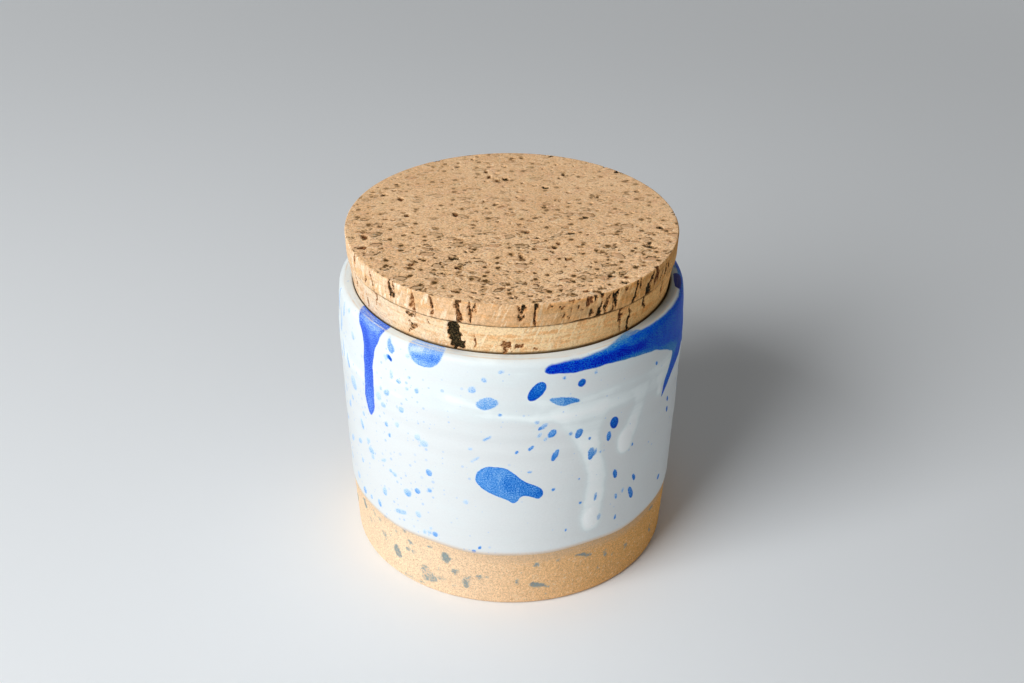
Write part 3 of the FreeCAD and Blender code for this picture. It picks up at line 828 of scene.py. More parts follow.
# Deep pits in the top, as (x, y, width, length, turn, depth, redness). +y is the far side.
TOP_PITS = [
    (8.4, 20, 1.5, 1.1, 0, 1, 0.1), (6.1, -8.3, 1.4, 1.2, 0, 1, 0.1),
    (14.6, -5.4, 1.2, 2.2, 60, 1, 0.1), (-8.3, -35.4, 1.1, 1, 0, 1, 0.1),
    (-3, -37.7, 1, 0.9, 0, 1, 0.1), (0.4, -37.8, 1, 0.9, 0, 1, 0.1),
    (-1.9, -33.1, 1.5, 1.1, 0, 0.9, 0.5), (-10.7, 37, 1.2, 1.1, 0, 0.9, 0.3),
    (-14.5, 32.2, 1.6, 1.2, 0, 0.9, 0.2), (-4, 10.1, 1.2, 1.2, 0, 0.8, 0.2),
    (-14, 4, 1.9, 1.8, 0, 0.8, 0.5), (-26.5, 3.4, 1.3, 1.6, 0, 0.8, 0.6),
    (-28.5, 12.3, 2.2, 1.6, 0, 0.7, 0.5), (-32.8, 14.8, 1.1, 1.8, 0, 0.8, 0.3),
    (10.3, 39.3, 1.5, 0.9, 0, 0.9, 0.2), (27.5, 29.9, 1.3, 1.1, 0, 0.9, 0.2),
    (32.2, 18.3, 1.4, 1.2, 0, 0.8, 0.3), (18.4, 3.4, 1.1, 1.6, -30, 0.9, 0.2),
    (3.7, -5.3, 1.9, 1.5, 0, 0.7, 0.4), (36.8, -2, 1.4, 1.9, -15, 0.8, 0.3),
    (-36, -8.2, 1.5, 2.6, 0, 0.8, 0.7), (-35.9, -14, 2.6, 1.8, 0, 0.9, 0.8),
    (11.4, -11, 0.9, 1.1, 0, 0.8, 0.5), (10.5, -13, 1, 1.1, 0, 0.9, 0.3),
    (10, -15.1, 0.9, 0.9, 0, 1, 0.1), (16.4, -12.4, 1.6, 1.2, -30, 0.7, 0.5),
    (-13, -9.3, 2.2, 0.9, 0, 0.8, 0.8), (-31.4, 1.4, 1.2, 1.4, 0, 0.8, 0.6),
    (26.8, -27.4, 1.4, 1.5, 20, 0.8, 0.5), (33.2, -12, 1.2, 1.6, -15, 0.8, 0.3),
    (-23.6, -22.5, 1.4, 1.6, 0, 0.8, 0.4), (-1.6, 24.8, 1.3, 1.9, 0, 0.8, 0.3),
    (-6, 26, 1.3, 1.5, 0, 0.7, 0.4), (-13.7, -18.9, 2.9, 1.3, 0, 0.8, 0.2),
    (-21.4, -19.4, 1.9, 1.3, 0, 0.7, 0.4), (2.4, -17.9, 2, 1.9, 0, 0.6, 0.4),
    (8, 8.7, 1.3, 1.9, 0, 0.7, 0.3), (14.4, 11.3, 1.3, 0.8, 25, 0.8, 0.2),
    (13.7, 27.9, 1.1, 2.2, 0, 0.8, 0.2), (17.5, -34.1, 2.2, 0.9, 0, 0.8, 0.9),
    (11.2, -31.8, 2, 0.8, 0, 0.8, 0.8),
]

# Lenticels in the sides, as (angle, centre height, width, height, lean, depth, redness).
CAP_CRACKS = [
    (-57.6, 84, 1.1, 1.9, 0, 0.55, 0.2), (-53, 84.6, 0.8, 3.8, -12, 0.9, 0.5),
    (-42.8, 85.4, 2, 4.8, 0, 0.75, 0.1), (-33.6, 85.3, 0.9, 6.2, 0, 0.62, 0.9),
    (-26.3, 85.2, 0.8, 6.6, -4, 0.62, 0.4), (-17, 85.2, 1.4, 6.6, -6, 0.85, 0.45),
    (-13.1, 85, 0.7, 6.6, -3, 0.9, 0.4), (-12, 86.2, 0.8, 1.6, 0, 0.5, 0.2),
    (-3.1, 86.9, 1.7, 0.6, 0, 0.5, 0.4), (3.6, 86.9, 3.1, 1.3, 0, 0.75, 0.2),
    (3.3, 84.5, 1.3, 2.4, 0, 0.5, 0.1), (7.8, 84.9, 1, 7, 2, 1, 0.4), (20, 87.6, 1.6, 1.2, 0, 0.5, 0.8),
    (25.6, 87, 1.7, 2.6, 0, 0.8, 0.9), (28.6, 87.2, 0.9, 1.8, 0, 0.9, 0.2),
    (29.5, 83.6, 1, 3.4, 10, 0.9, 0.2), (32.1, 84.6, 1.1, 5.6, 0, 0.6, 0.2),
    (36.1, 85.6, 1, 4.8, 4, 0.9, 0.2), (44.9, 84.5, 1.1, 5.4, 14, 1, 0.1),
    (51.9, 83.4, 2.4, 3.6, 6, 1, 0.1), (54, 86, 1.3, 3.4, 14, 0.8, 0.2),
    (57, 86.6, 1.9, 4.6, 8, 0.95, 0.7), (64, 85, 1, 3.6, 10, 0.7, 0.3), (67, 86, 0.8, 3, 0, 0.6, 0.3),
    (-66, 85.6, 0.8, 3, 6, 0.5, 0.4), (12.6, 87, 1.6, 0.6, 0, 0.5, 0.3),
    (16.4, 86.4, 2.6, 0.6, 0, 0.45, 0.2), (18.2, 84.6, 2.2, 0.5, 0, 0.4, 0.2),
    (22.6, 85.6, 1.8, 0.6, 0, 0.45, 0.2), (22.2, 87.5, 1, 0.7, 0, 0.5, 0.8),
    (30.6, 87.2, 0.7, 1.4, 0, 0.8, 0.2), (33.8, 87, 1.4, 1.6, 0, 0.6, 0.2),
    (34.6, 83.4, 0.8, 1.8, 0, 0.6, 0.2), (26.6, 83.2, 0.9, 1.6, 10, 0.7, 0.2),
    (40.2, 87, 1.2, 0.9, 0, 0.6, 0.2), (47.6, 86.6, 0.7, 2, 12, 0.7, 0.2),
    (60.6, 84.6, 0.8, 3, 6, 0.7, 0.2),
]
PLUG_CRACKS = [
    (-68, 79.6, 1, 4.6, 14, 0.5, 0.9), (-59.2, 76.6, 0.8, 4.6, 6, 0.55, 0.8),
    (-52, 80.2, 0.8, 4.2, 5, 0.7, 0.8), (-35, 80.9, 3.6, 2.2, 0, 0.45, 0),
    (-34.8, 77, 3, 2.8, 20, 0.45, 0), (-28.1, 80.6, 0.6, 1.8, 0, 0.6, 0.5),
    (-19.1, 79.8, 3.2, 4.8, 4, 1, 0), (-17.9, 76.4, 3.7, 4.4, 0, 1, 0),
    (-11.8, 77.3, 0.4, 3.6, 0, 0.7, 0.9), (-1.1, 76, 3.1, 1.8, 0, 0.6, 1),
    (2.8, 76, 1.3, 1.3, 0, 0.6, 1), (8.6, 75.2, 0.8, 0.9, 0, 0.5, 0.8),
    (39.4, 79.8, 1.4, 5.2, -6, 0.9, 0.6), (40, 76.4, 0.5, 3.4, 0, 0.7, 0.5),
    (43.8, 77.2, 0.9, 6.4, -4, 1, 0.2), (51.4, 79.8, 0.8, 5, -6, 0.9, 0.3),
    (64, 78, 1, 5.2, 4, 0.5, 0.9),
]

# Chips in the glued edges, as (angle, width in degrees, depth).
SEAM_CHIPS = [
    (31.5, 3.5, 0.5), (24, 3, 0.35), (51.5, 4, 0.5), (-18.5, 3, 0.4), (140, 5, 0.4),
]


# Small random pits in the top.
SMALL_PITS = 230


def square_to_disc(cells):
    """Grid of a square pressed evenly into a unit disc, and its edge in turn order."""
    line = np.linspace(-1, 1, cells + 1)
    a, b = np.meshgrid(line, line)
    wide = np.abs(a) > np.abs(b)
    safe_a = np.where(a == 0, 1, a)
    safe_b = np.where(b == 0, 1, b)
    reach = np.where(wide, a, b)
    turn = np.where(wide, math.pi / 4 * b / safe_a, math.pi / 2 - math.pi / 4 * a / safe_b)
    turn = np.where(reach == 0, 0, turn)
    number = np.arange((cells + 1) ** 2).reshape(cells + 1, cells + 1)
    corners = number[:-1, :-1], number[:-1, 1:], number[1:, 1:], number[1:, :-1]
    edge = number[0, :-1], number[:-1, -1], number[-1, :0:-1], number[:0:-1, 0]
    disc = by_vertex(reach * np.cos(turn), reach * np.sin(turn))
    return disc, by_vertex(*corners), np.concatenate(edge)


def random_side_cracks(rng, low, high, skip, count):
    """Lenticels like the chosen ones, for the sides that face away."""
    made = []
    for _ in range(count):
        angle = rng.uniform(skip[1], skip[0] + TURN)
        tall = rng.uniform(0.25, 1.05) * (high - low)
        centre = rng.uniform(low + tall * 0.3, high - tall * 0.2)
        width = rng.choice([0.5, 0.7, 0.9, 1.2, 2.2], p=[0.25, 0.3, 0.25, 0.14, 0.06])
        lean = rng.normal(0, 7)
        made.append((angle, centre, width, tall, lean, rng.uniform(0.5, 1.0), rng.random()))
    return made


def keep_deepest(depth, red, index, here, redness):
    """Write a mark's depth and redness where it is the deepest so far."""
    closer = here > depth[index]
    depth[index[closer]] = here[closer]
    red[index[closer]] = redness


def crack_fields(angles, heights, radius, cracks, seed):
    """Depth and redness of the lenticels at places on a disc's side."""
    around = arc_length(angles, radius)
    wobble = 0.30 * wall_waves(around, heights, (0.9, 1.5), seed)
    wobble += 0.16 * wall_waves(around, heights, (0.35, 0.6), seed + 1)
    ends = 0.5 * wall_waves(around, heights, (0.6, 2.0), seed + 2)
    depth = np.zeros(angles.shape)
    red = np.zeros(angles.shape)
    for angle, centre, width, tall, lean, strength, redness in cracks:
        across = across_from(angles, angle, radius)
        near = (np.abs(across) < width + 2.5) & (np.abs(heights - centre) < tall / 2 + 2.0)
        slope = math.tan(math.radians(lean)) * (heights[near] - centre)
        half = 0.41 * width
        x = np.abs(across[near] - slope + min(1.0, width / 1.2) * wobble[near]) / half
        y = np.abs(heights[near] - centre + ends[near]) / (tall / 2)
        gap = (np.sqrt(x**2 + y**6) - 1) * half
        keep_deepest(depth, red, np.flatnonzero(near), strength * smooth(0.22, -0.22, gap), redness)
    return depth, red


def top_marks(xy, seed):
    """Pits in the cork's flat top: how deep they are and how red."""
    rng = np.random.default_rng(seed)
    wobble_x, wobble_y = (
        0.24 * waves(xy, 0.9, first) + 0.12 * waves(xy, 0.4, first + 1)
        for first in (seed, seed + 2)
    )
    depth = np.zeros(len(xy))
    red = np.zeros(len(xy))

    def pit(x, y, width, length, turn, strength, redness):
        reach = max(width, length) + 1.0
        near = (np.abs(xy[:, 0] - x) < reach) & (np.abs(xy[:, 1] - y) < reach)
        index = np.flatnonzero(near)
        share = min(1.0, min(width, length) / 1.6)
        across = xy[index, 0] - x + share * wobble_x[index]
        along = xy[index, 1] - y + share * wobble_y[index]
        gap = ellipse(across, along, width, length, turn)
        keep_deepest(depth, red, index, strength * smooth(0.2, -0.28, gap), redness)

    for mark in TOP_PITS:
        pit(*mark)
    for _ in range(SMALL_PITS):
        r = 40.2 * math.sqrt(rng.random())
        a = rng.uniform(0, 2 * math.pi)
        size = rng.choice([0.45, 0.6, 0.8, 1.1], p=[0.38, 0.32, 0.22, 0.08])
        wide, long = size * rng.uniform(0.8, 1.6), size * rng.uniform(0.7, 1.2)
        turn, strength, redness = rng.uniform([-40, 0.3, 0.0], [40, 0.9, 0.7])
        pit(r * math.cos(a), r * math.sin(a), wide, long, turn, strength, redness)
    return depth, red


def seam_chips(angles, seed):
    """How much is broken from the glued edges round the lid, in millimetres."""
    ragged = np.clip(ring_waves(angles, (7, 11, 19, 31, 47), seed), -0.4, 2)
    chips = 0.05 + 0.10 * np.clip(ragged, 0, 2)
    chips += (0.16 + 0.10 * ragged) * smooth(6, 26, angles) * smooth(120, 80, angles)
    for angle, width, size in SEAM_CHIPS:
        chips += size * bell(turn_between(angles, angle), 0, width)
    return chips


def side_grain(angles, heights, radius, seed):
    """Fine roughness of a disc's side."""
    return 0.02 * wall_waves(arc_length(angles, radius), heights, (0.5, 1.4), seed, 40)


def side_cuts(depth, chipped, red, gap_shade=0.0):
    """Depth of the cuts in a disc's side, the painted shade in its chips and gap, and their redness."""
    return by_vertex(depth, np.clip(chipped * 1.5, 0, 0.8) + gap_shade, red)


def cap_rows(top_radius):
    """Outline of the upper disc's side from its rounded edge down, as (radius, height)."""
    foot_radius = CAP_RADIUS - 0.25
    rounded = arc((top_radius, LID_TOP - CAP_ROUNDING), CAP_ROUNDING, 90, 0, 3)[1:]
    heights = np.linspace(LID_TOP - CAP_ROUNDING, SEAM + 0.1, 13)[1:]
    share = (heights - SEAM) / (LID_TOP - SEAM)
    side = np.stack([foot_radius + (CAP_RADIUS - foot_radius) * share, heights], 1)
    return np.concatenate([rounded, side, [(foot_radius - 0.22, SEAM)]])


def cap_knot(angles, heights):
    """Darker knot along the front of the side, on the right, and one at the back."""
    drawn = 84.9 + 0.5 * np.sin(np.radians(angles * 9)) - heights
    front = bell(drawn, 0, 1.7) * smooth(5, 12, angles) * smooth(33, 25, angles)
    behind = bell(turn_between(angles, 160), 0, 14)
    return front + 0.5 * bell(drawn, 0, 2.2) * behind


def cap_side(radii, heights, angles, depth, top_radius):
    """Radii of the upper disc's side after its cracks, chips and grain, and the chips."""
    chip_rise = 0.35 + 0.5 * np.clip(ring_waves(angles, (9, 23, 41), SEED + 51), 0, 1)
    chipped = seam_chips(angles, SEED + 50) * smooth(1.0, 0.0, (heights - SEAM) / chip_rise)
    flats = 0.05 * ring_waves(angles, (2, 5, 9, 14), SEED + 52)
    grain = side_grain(np.broadcast_to(angles, radii.shape), heights, CAP_RADIUS, SEED + 53)
    radii = radii - 0.42 * depth - chipped + np.minimum(flats + grain, 0.0)
    radii[0] = np.minimum(radii[0], top_radius + CAP_ROUNDING * 0.5)
    return radii, chipped


def cap_uv(flat, top_quads, angles, rows):
    """UV places of the top as a disc, of the side in strips, and of the base as a fan."""
    disc_size = 0.80
    disc = UV_GAP / 2 + disc_size * (flat + 1) / 2
    disc[:, 1] += 1 - disc_size - UV_GAP
    side = strip_uv(RING, np.linspace(1, 0, rows + 1), 4, 0.0, 0.19)
    return [disc[top_quads], side[:, [3, 2, 1, 0]], fan_uv(angles, (0.9, 0.3), 0.05, False)]


def make_cap():
    """Upper cork disc, with a finely cut top."""
    flat, top_quads, edge = square_to_disc(DISC_CELLS)
    count = len(flat)
    top_radius = CAP_RADIUS - CAP_ROUNDING
    top = np.column_stack([flat * top_radius, np.full(count, LID_TOP)])
    ring = flat[edge] / np.linalg.norm(flat[edge], axis=1)[:, None]
    angles = bearing(*ring.T)
    sides = cap_rows(top_radius)
    radii, heights = spread(sides[:, 0], RING), spread(sides[:, 1], RING)
    rows = len(sides)
    all_angles = np.broadcast_to(angles, radii.shape)

    # Everything on the side is worked out for the top's edge too, so cracks notch it.
    inset = top_radius - np.hypot(top[:, 0], top[:, 1])
    rng = np.random.default_rng(SEED + 30)
    cracks = CAP_CRACKS + random_side_cracks(rng, SEAM, LID_TOP, (-70, 70), 34)
    folded = np.concatenate([LID_TOP + inset, heights.ravel()])
    round_angles = np.concatenate([bearing(top[:, 0], top[:, 1]), all_angles.ravel()])
    depth, red = crack_fields(round_angles, folded, CAP_RADIUS, cracks, SEED + 31)
    notch = depth[:count] * smooth(0.9, 0.0, inset)
    pits, top_red = top_marks(top[:, :2], SEED + 40)
    edge_ease = smooth(0.0, 0.5, inset)
    drop = 0.75 * pits * edge_ease + 0.30 * notch
    grain = 0.012 * waves(top[:, :2], 0.8, SEED + 44, 40)
    top[:, 2] -= drop - np.minimum(grain, 0) * edge_ease
    top_red = np.where(notch > pits, red[:count], top_red)
    side_depth = depth[count:].reshape(radii.shape)
    radii, chipped = cap_side(radii, heights, angles, side_depth, top_radius)

    vertices = np.vstack([top, turned_skin(radii, heights, angles), [[0, 0, SEAM]]])
    number = count + np.arange(rows * RING).reshape(rows, RING)
    rings = [edge, *number]
    quads = np.concatenate([ring_quads(rings[i + 1], rings[i]) for i in range(rows)])
    faces = [top_quads, quads, fan(number[-1], len(vertices) - 1, False)]
    plain = np.zeros(count)
    top_cuts = by_vertex(np.maximum(pits, notch), plain, top_red)
    knot = cap_knot(all_angles, heights)
    on_side = by_vertex(np.zeros(heights.shape), heights, knot)
    fields = {
        "cuts": np.vstack([top_cuts, side_cuts(side_depth, chipped, red[count:]), [[0, 0, 0]]]),
        "sheet": np.vstack([by_vertex(plain + 1, plain + LID_TOP, plain), on_side, [[0, SEAM, 0]]]),
    }
    uv = cap_uv(flat, top_quads, angles, rows)
    return make_mesh("cork_cap_disc", vertices, faces, uv, fields, 45)


def make_plug():
    """Lower cork disc: the part above the lip is fine, the part in the mouth coarse."""
    angles = column_angles(PLUG_COLUMNS)
    shown = np.linspace(LIP_TOP - 1.2, SEAM - 0.12, 30)
    hidden = np.array([PLUG_FLOOR, PLUG_FLOOR + 0.5, LIP_TOP - 5.0])
    heights = spread(np.concatenate([hidden, shown, [SEAM]]), PLUG_COLUMNS)
    lip_radius = PLUG_TOP_RADIUS - 1.1
    taper = (PLUG_TOP_RADIUS - lip_radius) / (SEAM - LIP_TOP)
    radii = lip_radius + taper * (heights - LIP_TOP)
    radii[0] -= 0.5
    radii[-1] -= 0.28
    all_angles = np.broadcast_to(angles, radii.shape)
    rng = np.random.default_rng(SEED + 60)
    cracks = PLUG_CRACKS + random_side_cracks(rng, LIP_TOP, SEAM, (-72, 72), 26)
    depth, red = (
        field.reshape(radii.shape)
        for field in crack_fields(
            all_angles.ravel(), heights.ravel(), PLUG_TOP_RADIUS, cracks, SEED + 61
        )
    )
    chipped = 0.7 * seam_chips(angles, SEED + 62) * smooth(0.45, 0.0, SEAM - heights)
    grain = side_grain(all_angles, heights, PLUG_TOP_RADIUS, SEED + 63)
    flush = 0.12 * np.cos(np.radians(angles + 110)) - 0.06
    above = smooth(LIP_TOP - 2.0, LIP_TOP + 0.5, heights)
    radii = radii + above * (flush - 0.38 * depth + np.minimum(grain, 0.0)) - chipped

    vertices, faces = turned_body(radii, heights, angles, SEAM, PLUG_FLOOR)
    up = np.concatenate([[0, 0.02, 0.06], np.linspace(0.1, 0.99, 30), [1.0]])
    uv = [
        strip_uv(PLUG_COLUMNS, up, 5, 0.0, 0.78),
        fan_uv(angles, (0.12, 0.89), 0.1, True),
        fan_uv(angles, (0.35, 0.89), 0.1, False),
    ]
    # Painted shade where it meets the lip, in a line of uneven width.
    reach = 0.20 + 0.40 * np.sin(np.radians(angles / 2 + 10)) ** 2
    gap_shade = smooth(reach, reach - 0.45, heights - LIP_TOP)
    plain = np.zeros(len(vertices))
    fields = {
        "cuts": np.vstack([side_cuts(depth, chipped, red, gap_shade), np.zeros((2, 3))]),
        "sheet": by_vertex(plain, vertices[:, 2], plain),
    }
    return make_mesh("cork_plug_disc", vertices, faces, uv, fields, 45)


# ---------------------------------------------------------------- node helpers


class Value:
    """Output of a node that adds, subtracts, multiplies and rises to a power like a number."""

    def __init__(self, nodes, socket):
        self.nodes = nodes
        self.socket = socket

    def __add__(self, other):
        return self.nodes.math("ADD", self, other)

    def __sub__(self, other):
        return self.nodes.math("SUBTRACT", self, other)

    def __mul__(self, other):
        return self.nodes.math("MULTIPLY", self, other)

    def __pow__(self, other):
        return self.nodes.math("POWER", self, other)

    def __abs__(self):
        return self.nodes.math("ABSOLUTE", self)


class Nodes:
    """Short ways to add and join the nodes of one material."""

    def __init__(self, name):
        self.material = bpy.data.materials.new(name)
        self.material.use_nodes = True
        self.tree = self.material.node_tree
        self.tree.nodes.clear()
        self.output = self.tree.nodes.new("ShaderNodeOutputMaterial")
        self.shader = self.tree.nodes.new("ShaderNodeBsdfPrincipled")
        self.tree.links.new(self.shader.outputs[0], self.output.inputs["Surface"])

    def set(self, socket, value):
        """Link a socket to another, or set its plain value."""
        value = getattr(value, "socket", value)
        if isinstance(value, bpy.types.NodeSocket):
            self.tree.links.new(value, socket)
        elif value is not None:
            socket.default_value = value

    def add(self, kind, inputs=(), **settings):
        """A new node, with inputs by name or number and settings by name."""
        node = self.tree.nodes.new(kind)
        for key, value in settings.items():
            setattr(node, key, value)
        for key, value in dict(inputs).items():
            self.set(node.inputs[key], value)
        return node

    def made(self, kind, *inputs, output=0, **settings):
        """Output of a new node whose first inputs are given in order."""
        return Value(self, self.add(kind, enumerate(inputs), **settings).outputs[output])

    def math(self, operation, *inputs):
        return self.made("ShaderNodeMath", *inputs, operation=operation)

    def vector(self, operation, *inputs):
        return self.made("ShaderNodeVectorMath", *inputs, operation=operation)

    def parts(self, vector):
        """The three parts of a vector or a colour."""
        node = self.add("ShaderNodeSeparateXYZ", {"Vector": vector})
        return [Value(self, part) for part in node.outputs]

    def place(self):
        """Place on the object, in metres."""
        return self.made("ShaderNodeTexCoord", output="Object")

    def field(self, name):
        """The three parts of a vertex attribute, and the whole."""
        whole = self.made("ShaderNodeAttribute", output="Vector", attribute_name=name)
        return (*self.parts(whole), whole)

    def range(self, value, low, high, new_low=0.0, new_high=1.0):
        """Smooth map of a value from one range to another."""
        ends = low, high, new_low, new_high
        return self.made("ShaderNodeMapRange", value, *ends, interpolation_type="SMOOTHSTEP")

    def noise(self, vector, scale, detail=2.0, roughness=0.5, output=0):
        """Noise of about 0 to 1 at a scale in features per unit of the vector."""
        inputs = {"Vector": vector, "Scale": scale, "Detail": detail, "Roughness": roughness}
        return Value(self, self.add("ShaderNodeTexNoise", inputs).outputs[output])

    def cells(self, vector, scale):
        """Distance to the nearest of scattered points, that point, and its three picks."""
        inputs = {"Vector": vector, "Scale": scale}
        out = self.add("ShaderNodeTexVoronoi", inputs, voronoi_dimensions="2D").outputs
        return Value(self, out["Distance"]), out["Position"], self.parts(out["Color"])

    def turned(self, vector, axis, angle):
        inputs = {"Vector": vector, "Angle": angle}
        node = self.add("ShaderNodeVectorRotate", inputs, rotation_type=axis)
        return Value(self, node.outputs[0])

    def mix(self, share, a, b, blend="MIX"):
        a, b = ((*colour, 1.0) if isinstance(colour, tuple) else colour for colour in (a, b))
        inputs = {0: share, 6: a, 7: b}
        node = self.add("ShaderNodeMix", inputs, data_type="RGBA", blend_type=blend)
        return Value(self, node.outputs[2])

    def tint(self, colour, value):
        """Colour made lighter or darker by a factor."""
        inputs = {0: colour, "Scale": value}
        return Value(self, self.add("ShaderNodeVectorMath", inputs, operation="SCALE").outputs[0])

    def ramp(self, value, stops):
        """Colour of a value between (place, colour) stops."""
        node = self.add("ShaderNodeValToRGB", {0: value})
        elements = node.color_ramp.elements
        for element, (place, colour) in zip(elements, (stops[0], stops[-1])):
            element.position, element.color = place, (*colour, 1)
        for place, colour in stops[1:-1]:
            elements.new(place).color = (*colour, 1)
        return Value(self, node.outputs[0])

    def bump(self, height, strength, distance):
        """Bump whose height is in units of the distance, in metres."""
        inputs = {"Height": height, "Strength": strength, "Distance": distance}
        return Value(self, self.add("ShaderNodeBump", inputs).outputs[0])

    def finish(self, colour, roughness, normal, specular):
        """Join what was made to the shader."""
        looks = {
            "Base Color": colour,
            "Roughness": roughness,
            "Normal": normal,
            "Specular IOR Level": specular,
        }
        for name, value in looks.items():
            self.set(self.shader.inputs[name], value)
        return self.material


# ---------------------------------------------------------------- materials

WHITES = [
    (0.00, (0.755, 0.785, 0.79)),
    (0.45, (0.765, 0.83, 0.84)),
    (0.75, (0.88, 0.95, 0.955)),
    (1.00, (0.965, 1.0, 1.0)),
]
CLAY_THROUGH = (0.66, 0.44, 0.26)
EDGE_STAIN = (0.70, 0.54, 0.40)
# Painted shade for the lip's inner half.
LIP_PAINTED_SHADE = (0.115, 0.145, 0.125)
# Painted shade for inside the mouth.
MOUTH_PAINTED_SHADE = (0.13, 0.085, 0.045)
SPRAY_BLUE = (0.34, 0.55, 0.88)
# Near-black blue: a real blue pool deepened with painted shade.
POOLED_BLUE_AND_SHADE = (0.0, 0.002, 0.15)
# Colour of a blue mark by its depth: plain, violet and teal.
BLUES = [
    (0.00, (0.70, 0.81, 0.90)),
    (0.25, (0.50, 0.675, 0.89)),
    (0.45, (0.168, 0.415, 0.83)),
    (0.62, (0.038, 0.24, 0.73)),
    (0.80, (0.002, 0.145, 0.60)),
    (1.00, (0.000, 0.050, 0.50)),
]
VIOLETS = [
    (0.00, (0.72, 0.82, 0.94)),
    (0.25, (0.52, 0.68, 0.94)),
    (0.45, (0.22, 0.40, 0.88)),
    (0.62, (0.088, 0.205, 0.78)),
    (0.80, (0.045, 0.125, 0.71)),
    (1.00, (0.008, 0.030, 0.58)),
]
TEALS = [
    (0.00, (0.55, 0.68, 0.74)),
    (0.25, (0.30, 0.50, 0.68)),
    (0.45, (0.10, 0.33, 0.62)),
    (0.62, (0.020, 0.215, 0.54)),
    (0.80, (0.000, 0.108, 0.60)),
    (0.92, (0.000, 0.045, 0.80)),
    (1.00, (0.000, 0.004, 0.44)),
]


def white_ground(n, across, place, coat, spray):
    """White of two coats, clouded, ringed by the throwing and finely sprayed with blue."""
    cloud = n.noise(across, 0.09, 3.0, 0.55)
    fine = n.noise(across, 1.9, 3.0, 0.65)
    rings = n.noise(n.vector("MULTIPLY", place, (0.02, 0.42, 0.0)), 1.0, 3.0, 0.55)
    cover = coat + (cloud - 0.5) * 0.9 + (rings - 0.5) * 0.5
    white = n.ramp(n.range(cover, -0.15, 1.10), WHITES)
    white = n.tint(white, fine * 0.09 + 0.955)

    distance, _, picks = n.cells(across, 0.62)
    size = picks[0] ** 2.5 * 0.30 * n.range(picks[1] + spray, 0.80, 1.30)
    speck = n.range(size - distance, -0.05, 0.07) * (picks[2] * 0.45 + 0.2)
    return n.mix(speck, white, SPRAY_BLUE), fine, rings


def blue_inks(n, across, thin_lip):
    """Colour of the blue marks, and a mask of where they are."""
    distance, depth, softness, _ = n.field("marks")
    tone = n.field("shade")[0]
    # Finely mottled, and a little deeper just inside their edges.
    ragged = n.noise(across, 1.5, 3.0, 0.6)
    rim = (ragged - 0.5) * n.range(depth, 0.25, 0.60, 0.75, 0.22) + distance
    mask = n.range(rim, softness, softness * -1.0)
    mottle = n.range(n.noise(across, 3.1, 2.0, 0.7), 0.32, 0.68, -0.12, 0.12)
    blotch = n.noise(n.vector("MULTIPLY", across, (1.0, 0.28, 0.0)), 0.62, 2.0, 0.55)
    crisp = n.range(softness, 0.22, 0.12, 0.0, 0.07)
    blue = mottle * n.range(depth, 0.40, 0.70, 1.0, 1.9) + depth
    blue += (blotch - 0.5) * 0.27 + n.range(rim, -0.8, -0.1) * crisp
    blue -= n.range(rim, -0.35, 0.35, 0.0, 0.25) + thin_lip * 0.35
    inks = n.mix(n.range(tone, 0.0, 1.0), n.ramp(blue, BLUES), n.ramp(blue, VIOLETS))
    inks = n.mix(n.range(tone, 0.0, -0.9), inks, n.ramp(blue, TEALS))
    # Past a depth of 1 the blue turns near black: a blue pool deepened with painted shade.
    return n.mix(n.range(depth, 1.05, 1.30), inks, POOLED_BLUE_AND_SHADE), mask


def glaze_material():
    """Semi-matt white glaze with blue marks, thin where it breaks over an edge."""
    n = Nodes("white_glaze_blue_splashes")
    thin_lip, thin_edge, coat, _ = n.field("glaze")
    _, painted_lip_shade, inside, _ = n.field("shade")
    _, _, spray, place = n.field("place")
    across = n.vector("MULTIPLY", place, (1.0, 1.0, 0.0))
    ground, fine, rings = white_ground(n, across, place, coat, spray)
    thin_lip *= n.range(n.field("marks")[1], 0.86, 1.10, 1.0, 0.1)
    inks, mask = blue_inks(n, across, thin_lip)
    # The lip's inner half gets painted shade.
    colour = n.mix(mask, n.mix(painted_lip_shade, ground, LIP_PAINTED_SHADE), inks)

    # Clay shows through where the glaze is thin.
    lip_break = thin_lip * n.range(n.noise(across, 0.35, 2.0), 0.25, 0.6)
    colour = n.mix(lip_break * 0.6, colour, CLAY_THROUGH)
    edge_break = (fine - 0.5) * 0.6 + thin_edge
    colour = n.mix(n.range(edge_break, 0.05, 1.15, 0.0, 0.95), colour, EDGE_STAIN)
    # Painted shade down inside the mouth.
    colour = n.mix(inside, colour, MOUTH_PAINTED_SHADE)
    skin = n.noise(across, 0.9, 2.0) + rings * 1.2 + fine * 0.35
    normal = n.bump(skin, 0.35, 0.00008)
    return n.finish(colour, fine * 0.12 + 0.32, normal, mask * -0.15 + 0.18)


PALE_GROG = (0.95, 0.76, 0.52)
DARK_GROG = (0.42, 0.22, 0.09)
GLAZE_WASH = (0.60, 0.43, 0.28)
GREY_GREEN = (0.175, 0.275, 0.30)


